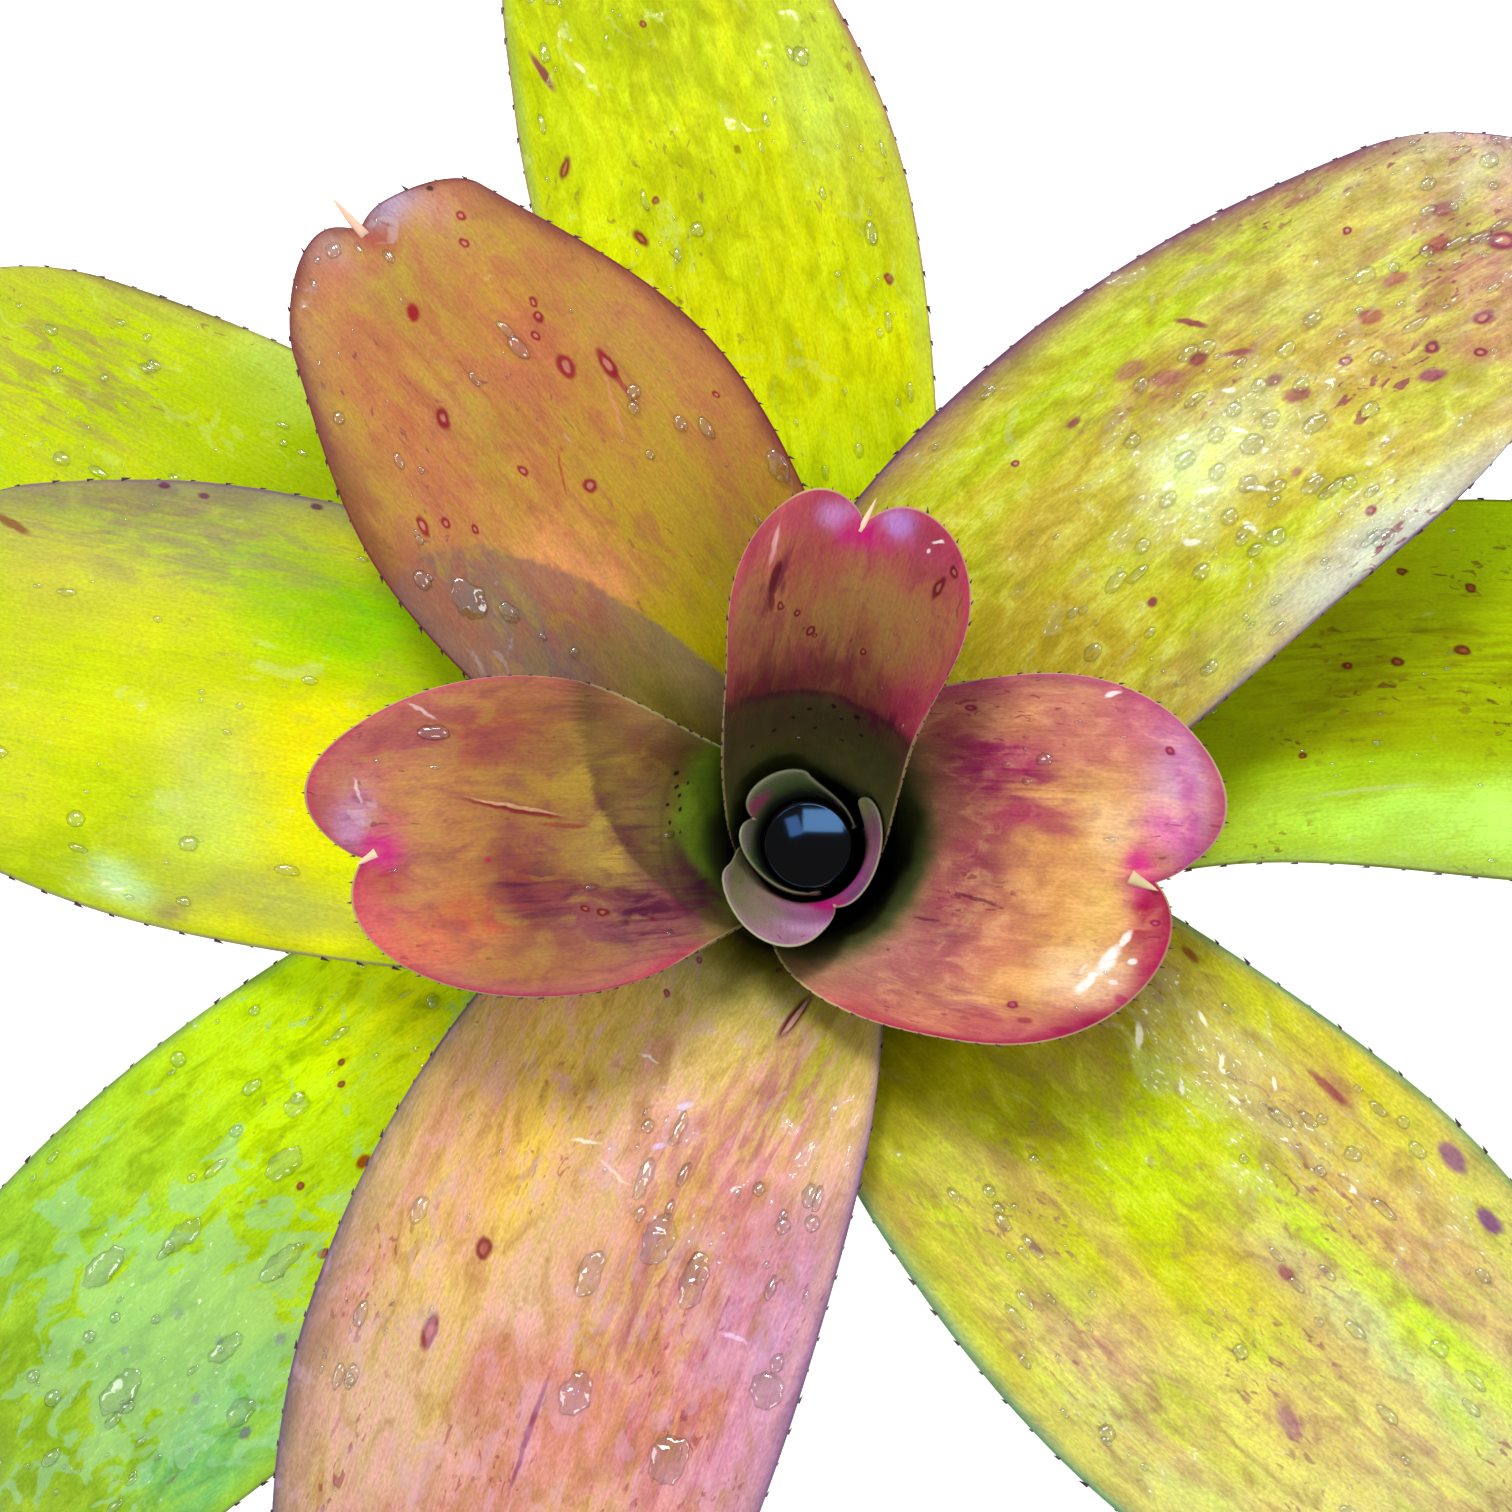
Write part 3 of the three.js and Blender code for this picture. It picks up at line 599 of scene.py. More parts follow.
    # the film stands about half a millimetre high and ripples; the veins under it barely show
    ripple = add(tree, "ShaderNodeMath", {0: fields["dew"], 1: leaf["dew"], 2: 0.5}, operation="MULTIPLY_ADD")
    relief = add(tree, "ShaderNodeMath", {0: pool, 1: ripple}, operation="MULTIPLY")
    surface = add(tree, "ShaderNodeBump", {"Height": relief, "Strength": 1.0, "Distance": 0.0006})
    ribs = add(tree, "ShaderNodeBump", {"Height": fields["vein"], "Strength": 0.6, "Distance": 0.00006})
    skin = add(tree, "ShaderNodeBsdfPrincipled", {
        "Base Color": colour, "Roughness": leaf["dry"], "IOR": 1.40, "Specular IOR Level": 0.2,
        "Specular Tint": linear(leaf["gloss"]), "Normal": ribs,
        "Coat Weight": pool, "Coat Roughness": 0.07, "Coat IOR": 1.36, "Coat Normal": surface})
    glow = add(tree, "ShaderNodeHueSaturation", {"Color": colour, "Saturation": 1.15, "Value": 1.2})
    lit_through = add(tree, "ShaderNodeBsdfTranslucent", {"Color": glow})
    both = add(tree, "ShaderNodeMixShader", {0: 0.25, 1: skin, 2: lit_through})
    add(tree, "ShaderNodeOutputMaterial", {"Surface": both})
    return material


# What a leaf has unless it says otherwise, in mm and degrees. A row of spots, patches, marks,
# brushed or films opens with its place from the tip and from the midrib, its two half lengths and,
# where it has one, its tilt; then come its colour and amount, or its amount alone.
# An edge has a width, colour, amount, start along the blade and side; a line has a place from the
# tip, a slant, a bend, a length over which it fades, a colour and an amount. Puddles are like spots.
PLAIN = {
    "channel": 0, "roll": 0, "wave": 0, "crease": 0, "uneven": 0, "fineness": (112, 32),
    "spike": 2, "spike_width": 0.7, "spike_seat": (0, 0), "spike_colour": "#F0D8B8",
    "clear": 0.5, "stroke": 1, "vein": 0.05, "dry": 0.40, "under": "#8A9458", "bright": [(0, 1)],
    "edges": [], "patches": [], "lines": [], "brushed": [], "brush_colour": "#8A2458", "clouds": [],
    "flecks": (0.64, 0.70, 0.6, "#7A3050"), "flecked": 0.3, "films": [], "shore": 0.68,
    "sheen": ("#D8D0D8", 0.10, 0.03), "dew": 0.6, "glints": 2, "gloss": "#FFE8D8",
    "spots": [], "marks": [], "ring_colours": ("#8A1838", "#C89070"), "rings": 0.05,
    "margin": ("#C8D8A0", 0.8, 0.8), "drops": 0, "puddles": [],
}

heart = [
    dict(
        PLAIN, azimuth=154.5, reach=16, rise=123, slope=70, sway=2, bow=0, half_widths=[26, 19, 17, 19],
        shoulders=(44, 7), lobes=(-4, -1), notch=12, seed=1, stroke=0.3, dry=0.5,
        colours=[(0, "#182416"), (0.3, "#283628"), (0.6, "#567640"), (0.85, "#70845C"), (1, "#949078")],
        edges=[(1.6, "#A8B088", 0.7, 0.2, 1), (1.6, "#A8B088", 0.7, 0.2, -1)],
        patches=[(8, -3, 4, 3.4, "#B0487C", 0.85), (9, 4, 5, 4, "#A09A94", 0.6)],
        clouds=[("mottle", 0.5, "#4C5C30")], rings=0, margin=("#B4BE98", 0.7, 0.8),
    ),
    dict(
        PLAIN, azimuth=282.5, reach=20, rise=121, slope=66, sway=3, bow=2, half_widths=[22, 27, 30, 38],
        shoulders=(14, 16), lobes=(-11, 9), notch=14, spike=3, seed=2, stroke=0.3,
        bright=[(0, 2.6), (0.3, 2), (0.5, 1.3), (0.65, 1)],
        colours=[
            (0, "#3A3428"), (0.2, "#5A4A3C"), (0.45, "#7C5870"), (0.65, "#8E4C94"), (0.85, "#AC68B0"),
            (1, "#B080A0"),
        ],
        patches=[
            (8, -24, 14, 6, "#7C8A44", 0.95), (9, -17, 11, 7, "#A89C80", 0.9),
            (10, -8, 9, 6, "#C07CB0", 0.8), (18, -1, 10, 4.6, "#C81484", 1.0), (21, 8, 7, 5, "#B044A4", 0.9),
            (16, 16, 9, 7, "#B07890", 0.75), (16, 27, 8, 5, "#A4B074", 0.95), (2, -7, 3, 7, "#D8B0D8", 0.7),
        ],
        clouds=[("mottle", 0.45, "#A0708C")], rings=0, margin=("#C4CCA0", 0.6, 0.7),
    ),
    dict(
        PLAIN, azimuth=86, reach=62, rise=166, slope=4, sway=-8, bow=1, half_widths=[29, 23, 23, 35],
        shoulders=(52, 37), lobes=(5, 4), notch=3, spike=5, spike_width=0.8, spike_seat=(0, -12), channel=1.5,
        roll=3, crease=2, uneven=0.12, fineness=(150, 40), seed=3, clear=0.58,
        bright=[(0, 5), (0.3, 1.7), (0.45, 1.1), (0.6, 1.3), (0.85, 1.3), (1, 1)],
        colours=[
            (0, "#2A2E1C"), (0.15, "#34381E"), (0.35, "#4A4A22"), (0.46, "#5A4A28"), (0.52, "#5E4028"),
            (0.56, "#6A382E"), (0.62, "#703830"), (0.68, "#94603C"), (0.76, "#96683C"), (0.84, "#96603E"),
            (0.91, "#9C4A48"), (0.96, "#AC4460"), (1, "#AC4058"),
        ],
        edges=[(9, "#A83C54", 0.7, 0.62, 1), (9, "#9C3448", 0.7, 0.55, -1), (3, "#B03C5C", 0.8, 0.5, -1)],
        patches=[
            # the two lilac patches beside the notch are painted highlights
            (2, 5, 3, 4, 20, "#C890D0", 0.8), (1.5, -7, 3, 3.6, -20, "#B888D8", 0.8),
            (5.5, -0.5, 3.6, 5, "#B4106C", 1.0), (38, 12, 6, 9, "#461A18", 0.7),
            (17, 12, 8, 5, "#A0563C", 0.6), (22, -2, 9, 8, "#8E6C38", 0.6), (8, 15, 9, 3, "#C06058", 0.5),
            (37, -17, 12, 4, "#A02C50", 0.7),
        ],
        # both lines paint the shadow that the leaf's raised tip casts on its own hollow base: a broad dark
        # fade and a sharp dark rim
        lines=[(42.5, -2.5, -2, 40, "#34381C", 0.8), (42.5, -2.5, -2, 4, "#2E0C22", 0.85)],
        brushed=[(33, 4, 8, 17, 0.45), (45, -13, 5, 8, 0.9), (16, 14, 8, 3, 0.8)], brush_colour="#5A1030",
        clouds=[("cloud", 0.45, "#A04440"), ("mottle", 0.5, "#8E7034"), ("pit", 0.6, "#A04450")],
        flecks=(0.66, 0.7, 0.5, "#6A1024"), films=[(3, -12, 4, 4, 0.2), (4, 8, 4, 4, 0.16)], shore=0.8,
        sheen=("#F0D0E0", 0.4, 0.02),
        spots=[
            (20, 12, 0.8, 0.7), (22, 8.5, 0.8, 0.7), (26, 5, 1.0, 0.8), (27, 4, 0.6, 0.5),
            (29, -6, 0.7, 0.6), (10, -17, 2.2, 0.8, 15), (6, -19, 1.0, 0.9),
        ],
        marks=[
            (47, -3, 0.7, 0.6, "#0A0808", 0.9), (49, 2, 0.6, 0.6, "#0A0808", 0.9),
            (48, -8, 0.8, 0.7, "#0A0808", 0.9), (51, -5, 0.6, 0.5, "#0A0808", 0.9),
            (52, 5, 0.6, 0.5, "#0A0808", 0.8), (54, -10, 0.7, 0.6, "#0A0808", 0.9),
            (56, 9, 0.6, 0.6, "#0A0808", 0.8), (57, 0, 0.5, 0.5, "#0A0808", 0.8),
            (60, -6, 0.6, 0.5, "#0A0808", 0.8), (58, 14, 0.6, 0.5, "#0A0808", 0.8),
            (8, 16, 3.6, 0.5, "#D8A0A0", 0.9), (14, 14.4, 3.4, 0.9, 4, "#5A0C20", 0.9),
            # the last two marks, near white, are painted glints
            (19, 14, 2.2, 0.6, -10, "#6A1420", 0.8), (2.4, -14.6, 1.1, 0.35, 70, "#FFF0F4", 0.8),
            (4.4, -13.4, 0.5, 0.3, "#FFF0F4", 0.7),
        ],
        ring_colours=("#6A1020", "#B07050"), margin=("#D8C890", 0.55, 0.75), drops=5,
    ),
    dict(
        PLAIN, azimuth=178, reach=88, rise=161, slope=-2, sway=9, bow=1, half_widths=[18, 24, 35, 42],
        shoulders=(70, 43), lobes=(2, 11), notch=3, spike=2.4, spike_width=1.2, spike_seat=(1, 25), channel=1,
        roll=3, crease=2.5, uneven=0.12, fineness=(150, 40), seed=4, clear=0.4,
        bright=[(0, 1.4), (0.45, 1.3), (0.7, 1.1), (1, 1.05)],
        colours=[
            (0, "#20201A"), (0.12, "#343A1C"), (0.2, "#5A701C"), (0.3, "#708E22"), (0.35, "#74702C"),
            (0.45, "#8C6C48"), (0.54, "#9C7C48"), (0.62, "#A47640"), (0.7, "#A46E40"), (0.8, "#B87C48"),
            (0.88, "#C08058"), (0.95, "#C46C60"), (1, "#C07068"),
        ],
        edges=[
            (14, "#B06066", 0.75, 0.3, 1), (4, "#B83C5C", 0.85, 0.35, 1), (10, "#B4605C", 0.6, 0.6, -1),
            (3.4, "#B8405C", 0.85, 0.7, -1),
        ],
        patches=[
            # (59, -18) is painted shade beyond the edge of a cast shadow
            (59, -18, 15, 7, "#5C3E20", 0.9), (47, -11, 8, 8, "#BCA040", 0.9), (54, 1, 6, 6, "#C4A848", 0.9),
            (74, 14, 8, 6, "#6C2C44", 0.9), (40, -10, 14, 5, "#B08A34", 0.75),
            (44, 12, 12, 6, "#783838", 0.9), (42, 20, 18, 5, "#8C4448", 0.85),
            (22, -22, 10, 6, "#A45040", 0.85), (10, -22, 9, 7, "#AC5C5C", 0.85),
            # (2, -8), lilac, is a painted highlight beside the notch
            (22, 13, 8, 5, "#C0543C", 0.8), (76, 4, 6, 7, "#4E2830", 0.9), (2, -8, 4, 6, "#CC98C8", 0.8),
            (6, 5, 4.5, 5, "#A82448", 1.0), (7, -2, 4.4, 4, 30, "#CC2084", 1.0),
            (33, 9, 8, 9, "#883438", 0.9), (12, 18, 10, 6, "#E07858", 0.75), (3, 14, 5, 9, "#E86C6C", 0.6),
            (52, 17, 14, 7, "#94606C", 0.6), (68, 14, 9, 7, "#8C4458", 0.8), (14, -12, 9, 5, "#CCA050", 0.5),
            (80, 12, 10, 6, "#3A1428", 0.9),
        ],
        # the first line is the painted edge of a cast shadow; the second a thin dark line where the green
        # base begins
        lines=[(58.5, 24, 0, 17, "#5C4A2C", 0.8), (70, 2, 0, 2.4, "#3A1424", 0.35)],
        brushed=[(60, 4, 10, 14, 0.6), (36, 9, 9, 6, 0.9), (60, 18, 14, 7, 0.7), (80, 11, 9, 6, 1.0)],
        brush_colour="#5C1C40",
        clouds=[
            ("cloud", 0.5, "#A0504C"), ("mottle", 0.45, "#A8903C"), ("pit", 0.5, "#9C4C5C"),
            ("gap", 0.3, "#C08C50"),
        ],
        flecks=(0.66, 0.7, 0.5, "#6A1828"), films=[(3, -10, 4, 7, 0.2), (3, 20, 4, 5, 0.14)], shore=0.8,
        sheen=("#E4C8D0", 0.35, 0.03), spots=[(50, 14, 1.6, 0.9), (46, 13, 0.9, 0.7)],
        marks=[
            (71, -15, 0.7, 0.6, "#0C1008", 0.9), (73, -12, 0.6, 0.6, "#0C1008", 0.9),
            (72, -8, 0.6, 0.5, "#0C1008", 0.9), (75, -10, 0.7, 0.6, "#0C1008", 0.9),
            (74, -4, 0.6, 0.5, "#0C1008", 0.9), (77, -7, 0.6, 0.6, "#0C1008", 0.9),
            (76, -13, 0.5, 0.5, "#0C1008", 0.8), (78, -2, 0.5, 0.5, "#0C1008", 0.8),
            (11, -28, 3.4, 0.35, 30, "#F0D8D4", 0.6), (2, -13, 2.6, 0.35, 70, "#F0D0D8", 0.7),
            (27, 2, 0.9, 0.6, "#C01850", 0.8), (33, -7.6, 11, 0.8, 12, "#8A2028", 0.9),
            (33, -8, 10, 0.35, 12, "#E0B080", 0.9), (44, -4, 6, 0.5, 5, "#A04838", 0.7),
        ],
        ring_colours=("#7A1828", "#C07850"), rings=0.04, margin=("#C8C890", 0.6, 0.7), drops=8,
    ),
    dict(
        PLAIN, azimuth=352, reach=76, rise=149, slope=-6, sway=0, bow=-2, half_widths=[37, 43, 43, 53],
        shoulders=(36, 50), lobes=(9, 0), notch=7, spike=3.8, spike_width=1.5, spike_seat=(3.5, -24),
        channel=1, roll=3, crease=2.5, uneven=0.12, fineness=(150, 40), seed=5, clear=0.35,
        spike_colour="#E8D4A4", bright=[(0, 2.1), (0.35, 2), (0.5, 1.2), (0.8, 1)],
        colours=[
            (0, "#1A1C12"), (0.12, "#2C3018"), (0.22, "#3C4422"), (0.32, "#6A5C38"), (0.42, "#9C6454"),
            (0.5, "#B0665A"), (0.6, "#D09064"), (0.7, "#DEA45C"), (0.8, "#E8BC68"), (0.9, "#DEA070"),
            (1, "#D48470"),
        ],
        edges=[
            (13, "#B8686C", 0.7, 0.4, 1), (6, "#B03C70", 0.75, 0.5, 1), (10, "#BC5C68", 0.7, 0.5, -1),
            (5.5, "#A81848", 0.95, 0.5, -1),
        ],
        patches=[
            (56, -24, 12, 14, "#94705C", 0.8), (56, -2, 10, 12, "#8C4A4C", 0.6),
            # (4, 16) and (1, 22) are a painted lilac-white sheen on the upper lobe
            (5, 30, 9, 8, "#C85888", 0.7), (50, 4, 12, 12, "#A86458", 0.6), (4, 16, 6, 9, "#E0B4C8", 0.8),
            (1, 22, 4, 9, "#D0A0D8", 0.7), (16, 10, 7, 6, "#F4CC9C", 0.8),
            (38, 23, 12, 6, -12, "#B42A6C", 1.0), (34, 11, 11, 3, -10, "#B83A68", 0.9),
            (46, 2, 8, 3, 20, "#8C3450", 0.7), (24, 28, 12, 6, "#CC7470", 0.6),
            (16, -20, 9, 5, 10, "#F6D8B0", 0.8), (33, -16, 9, 5, "#C87468", 0.6),
            (44, 14, 9, 9, "#9C5450", 0.6), (9, -29, 9, 3.5, "#A82450", 0.85),
            (24, -33, 14, 4.5, "#B43858", 0.75), (48, -20, 12, 8, "#B4606C", 0.5),
            (37, -30, 8, 5, "#D0A46C", 0.8), (19, 31, 9, 7, "#CC7870", 0.8), (6, 10, 5, 5, "#E870B8", 0.8),
            (1, 12, 2, 12, "#C848A0", 0.7), (5, -15, 3.4, 6, "#B82058", 0.85),
            (9, -6, 3.4, 5.5, "#AC1448", 1.0), (11.5, 1.5, 3.6, 5, "#DC2890", 1.0),
        ],
        brushed=[(40, 22, 14, 9, 0.8), (26, 16, 12, 6, 0.4), (30, -30, 18, 5, 0.5), (52, -6, 10, 16, 0.4)],
        brush_colour="#A01C60",
        clouds=[("cloud", 0.4, "#CC6474"), ("mottle", 0.3, "#F0C888"), ("pit", 0.3, "#C87468")],
        flecks=(0.62, 0.68, 0.6, "#8A1848"), films=[(3, 18, 4, 8, 0.24)], shore=0.82,
        sheen=("#F0E0F0", 0.5, 0.03),
        spots=[(37, 36, 1.2, 0.8), (3, 26, 1.0, 0.8), (6, -8, 1.0, 0.7), (24, -28, 1.1, 0.8)],
        marks=[
            (10, 37.5, 1.8, 0.5, -20, "#FFF4F0", 0.9), (9, -30, 2.4, 1.2, 20, "#A01848", 0.75),
            (13, -32, 1.8, 1.0, "#A81C50", 0.75), (20, -31, 1.4, 0.8, "#981840", 0.7),
            # the white marks from (14, -21) to (9.5, -20.5) are painted glints on the wet lower lobe
            (7, -24, 1.6, 0.9, 40, "#B02860", 0.7), (14, -21, 2.6, 1.1, 105, "#FFFAF6", 0.95),
            (12, -16, 3.2, 1.3, 100, "#FFFAF6", 0.95), (10.6, -11.6, 1.8, 0.7, 110, "#FFFAF6", 0.9),
            (8, -16, 0.8, 0.7, "#FFFAF6", 0.9), (16, -18.4, 1.2, 0.4, 90, "#FFF0E0", 0.8),
            (9.5, -20.5, 0.7, 0.5, "#FFF0F0", 0.8), (46, -6, 7, 0.4, 8, "#6A1838", 0.7),
            (58, -12, 5, 0.4, "#5A1830", 0.6),
        ],
        ring_colours=("#981848", "#C86078"), rings=0.03, margin=("#D8D098", 0.6, 0.7), drops=14,
    ),
]
for order, leaf in enumerate(heart):
    look = leaf_look(f"ripened_heart_leaf_{order + 1}", leaf)
    leaf_body(f"heart_leaf_{order + 1}", leaf, order, look)


# ---- Blushed leaves ------------------------------------------------------------------------
# The next three leaves out, longer and flatter. They are green leaves turning copper and pink
# from the margin in, and rain stands on them in drops and films.

blushed = [
    dict(
        PLAIN, azimuth=125, reach=154, rise=152, slope=-4, sway=4, bow=-3, half_widths=[36, 39, 42, 22],
        shoulders=(15, 9), lobes=(2, -1), notch=3, spike=8.5, spike_width=1.3, channel=3, roll=3, wave=0.4,
        crease=2.5, uneven=0.2, seed=6, clear=0.36, spike_colour="#F0C8B0",
        bright=[(0, 2), (0.3, 1.5), (0.5, 1.35), (0.65, 1.1), (1, 0.92)],
        colours=[
            (0, "#3A3A10"), (0.2, "#6E6208"), (0.3, "#A09004"), (0.38, "#B28C10"), (0.46, "#B08828"),
            (0.54, "#BA8E38"), (0.62, "#C08E46"), (0.72, "#C08C50"), (0.82, "#BC9444"), (0.9, "#BE984C"),
            (0.96, "#C08460"), (1, "#B87868"),
        ],
        edges=[
            (11, "#A06C50", 0.7, 0.35, 1), (4.5, "#7C4046", 0.9, 0.4, 1), (8, "#A86248", 0.65, 0.5, -1),
            (3.4, "#80403C", 0.9, 0.4, -1),
        ],
        patches=[
            # (4, -8), lilac, is a painted sheen beside the notch
            (8, 1, 6, 4, "#B02848", 0.85), (4, -8, 4, 6, "#C0B4D8", 0.7), (10, -13, 5, 6, "#D8A898", 0.6),
            # (92, 30) and (98, 26) are painted shade where the heart leaves' shadow falls, and (83, 9) is a
            # painted lit wedge between shadows
            (3, 8, 5, 5, "#C8A098", 0.6), (92, 30, 28, 13, "#8C7070", 0.9), (74, 33, 14, 8, "#A08468", 0.6),
            (83, 9, 15, 8, -30, "#E8A068", 0.9), (98, 26, 16, 10, -20, "#7C6468", 0.8),
            (50, 38, 22, 6, "#84582C", 0.8), (112, -6, 18, 14, "#B0A008", 0.7),
            (22, 2, 9, 8, "#AC9034", 0.6), (66, -12, 22, 9, "#B0942C", 0.5),
            (42, -14, 24, 9, "#CC7C4C", 0.6), (50, 22, 20, 9, "#C87850", 0.5),
            (100, -22, 18, 12, "#9A8A30", 0.6),
        ],
        # the line is the painted edge of a cast shadow, fading rootward
        lines=[(110, -116, 65, 60, "#745C5C", 0.7)], brushed=[(50, 4, 30, 24, 0.35)], brush_colour="#B0543C",
        clouds=[
            ("cloud", 0.6, "#C47454"), ("mottle", 0.55, "#B0982C"), ("gap", 0.5, "#B49C30"),
            ("pit", 0.5, "#CC7C58"),
        ],
        films=[(84, 34, 12, 8, 0.15), (80, -38, 10, 6, 0.15), (6, -8, 5, 6, 0.1)], shore=0.74,
        sheen=("#D8C8D4", 0.3, 0.03),
        spots=[
            (13, -17, 1.2, 0.9), (18, -14, 1.0, 0.8), (35, -17, 1.1, 0.8, 20), (38, -16, 1.2, 0.9, 20),
            (41, -13, 1.0, 0.8, 20), (44, 12, 2.2, 1.2, 20), (49, -14, 2.6, 1.5, 10), (52, -21, 3.2, 1.2, 5),
            (56, 29, 2.0, 1.0, 10), (59, 25, 1.2, 0.8), (64, 21, 0.9, 0.7), (62, 6, 1.1, 0.8),
            (72, -3, 1.6, 1.2), (64, -36, 0.9, 0.7),
        ],
        marks=[
            (24, 3, 2.0, 1.3, 30, "#9C1024", 0.95), (5, -16, 0.8, 0.7, "#2A1010", 0.9),
            (55, -21, 6, 0.5, 5, "#A83048", 0.7), (60, -17, 8, 0.45, 20, "#D89A6A", 0.7),
            (67, 0, 5, 0.3, 25, "#B04838", 0.7),
        ],
        ring_colours=("#981C30", "#D09078"), rings=0.06, margin=("#7A3038", 0.7, 0.8), drops=40,
        puddles=[
            (72, 31, 4.5, 3.2), (80, -39, 4.0, 2.0), (80, 26, 2.6, 1.8), (62, -20, 1.6, 1.2),
            (68, -26, 2.0, 1.3), (96, 20, 1.2, 1.0),
        ],
    ),
    dict(
        PLAIN, azimuth=243, reach=204, rise=132, slope=-10, sway=18, bow=-5, half_widths=[30, 47, 50, 35],
        shoulders=(34, 36), lobes=(3, 2), notch=5, spike=8, spike_width=0.9, channel=5, roll=2, wave=1,
        crease=2.5, uneven=0.35, seed=7, clear=0.15, vein=0.06,
        bright=[(0, 2.4), (0.2, 1.6), (0.35, 1.18), (0.6, 1.08), (1, 0.95)],
        colours=[
            (0, "#3E3C10"), (0.08, "#6A6418"), (0.14, "#989248"), (0.22, "#BCA658"), (0.32, "#CCAC68"),
            (0.45, "#D4AC7C"), (0.6, "#D8A888"), (0.8, "#D4A48C"), (1, "#CC9C8C"),
        ],
        edges=[
            (14, "#98806C", 0.75, 0.4, -1), (3.5, "#786874", 0.85, 0.2, -1), (13, "#AC7898", 0.75, 0.35, 1),
            (3, "#80608C", 0.8, 0.2, 1),
        ],
        patches=[
            (138, -26, 14, 12, "#D0B838", 0.85), (108, -30, 34, 18, "#E4C85C", 0.85),
            (140, -18, 22, 10, "#C8AC44", 0.6), (92, 34, 34, 14, "#D498C8", 0.9),
            (124, 24, 24, 10, "#C8807C", 0.6), (112, 38, 20, 7, "#B890BC", 0.8),
            (76, 12, 12, 8, "#D08850", 0.8), (118, 10, 12, 7, "#D48C60", 0.7),
            (162, 26, 18, 10, "#98981C", 0.95), (86, 7, 11, 6, 10, "#C87C44", 0.9),
            (88, 33, 9, 6, 10, "#C8854C", 0.8), (70, 8, 26, 12, "#DC9C8C", 0.6),
            (88, -8, 22, 6, "#E0BCAC", 0.6), (90, 20, 12, 7, "#CC8C54", 0.7),
            (64, 34, 12, 9, "#D08C60", 0.6), (132, 2, 20, 7, "#DEB8A4", 0.6),
            (60, -28, 22, 12, "#D8BC98", 0.7), (118, -22, 20, 9, "#F0CC50", 0.9),
            (98, -24, 12, 8, "#ECD070", 0.8), (118, 10, 13, 7, 10, "#CC8060", 0.8),
            (101, 22, 10, 6, 10, "#C88C54", 0.8), (80, -9, 8, 6, 10, "#C48448", 0.85),
            (81, 27, 10, 6, 10, "#CC8850", 0.85),
        ],
        brushed=[(120, 12, 40, 9, 0.5), (90, 30, 40, 14, 0.4), (150, 24, 22, 8, 0.6)], brush_colour="#B4587C",
        clouds=[
            ("cloud", 0.6, "#D08478"), ("gap", 0.6, "#D8C05C"), ("mottle", 0.55, "#D8A0A4"),
            ("pit", 0.5, "#D09850"),
        ],
        flecks=(0.6, 0.66, 0.6, "#98384C"),
        films=[(112, 30, 30, 12, 0.13), (86, 6, 20, 12, 0.1), (130, 0, 18, 12, 0.08)], shore=0.62,
        sheen=("#E4B8D4", 0.25, 0.05), dew=1.0,
        spots=[
            (99, -20, 1.9, 1.6), (80, -24, 3.2, 1.4, 5), (176, -8, 1.0, 0.8), (164, -10, 1.0, 0.8),
            (186, 8, 0.8, 0.6), (156, -30, 1.2, 1.0),
        ],
        marks=[
            (172, 17, 6.5, 1.6, 7, "#641420", 0.95), (172, 17.2, 5, 0.65, 7, "#E8B8A8", 0.9),
            # the pale lilac and white marks are painted highlights along ridges of the water film
            (74, 2, 12, 0.6, "#8C2C64", 0.8), (145, 5, 1.8, 0.8, 40, "#E4DCF8", 0.85),
            (135, 4, 1.4, 0.6, 40, "#DCC8F0", 0.8), (128, -10, 3.2, 0.4, 60, "#FFF4E0", 0.85),
            (126, -2, 4, 0.4, 100, "#F4E0D0", 0.7), (150, -6, 2.2, 0.35, 80, "#FFF4E0", 0.7),
            (103, 34, 3.0, 0.5, 100, "#F0D8F8", 0.6),
        ],
        ring_colours=("#8C2434", "#C87868"), rings=0.04, margin=("#6E5878", 0.8, 0.85), drops=90,
        puddles=[
            (94, 44, 3.6, 3.4), (118, 12, 5.5, 3.0), (112, 22, 6.0, 2.6), (128, 4, 5.0, 1.4),
            (84, 8, 4.5, 3.0), (106, 2, 5.0, 2.4), (140, 6, 4.0, 1.2), (78, 30, 5.0, 4.0),
            (96, -36, 3.0, 1.6),
        ],
    ),
    dict(
        PLAIN, azimuth=41.5, reach=209, rise=134, slope=-10, sway=-11, bow=9, half_widths=[39, 44, 40, 29],
        shoulders=(29, 70), lobes=(3, 2), notch=5, spike=8, spike_width=0.9, channel=5, roll=2, wave=1,
        crease=2.5, uneven=0.35, seed=8, clear=0.2, vein=0.06,
        bright=[(0, 1.5), (0.3, 1.2), (0.45, 1), (1, 0.95)],
        colours=[
            (0, "#5A5A10"), (0.14, "#948C14"), (0.26, "#C0B028"), (0.36, "#CEC428"), (0.5, "#D0D434"),
            (0.62, "#CED03C"), (0.72, "#D2C058"), (0.82, "#D8BC7C"), (0.9, "#E0C0A0"), (1, "#E0B8C4"),
        ],
        edges=[
            (11, "#A47470", 0.85, 0.3, 1), (3, "#865474", 0.9, 0.2, 1), (8, "#C8B098", 0.6, 0.45, -1),
            (3, "#988CA8", 0.7, 0.3, -1),
        ],
        patches=[
            (92, 28, 40, 8, "#C0D810", 0.85), (104, -30, 20, 7, "#CCCC14", 0.7),
            # (96, -3) is a painted sheen on the wet middle of the blade
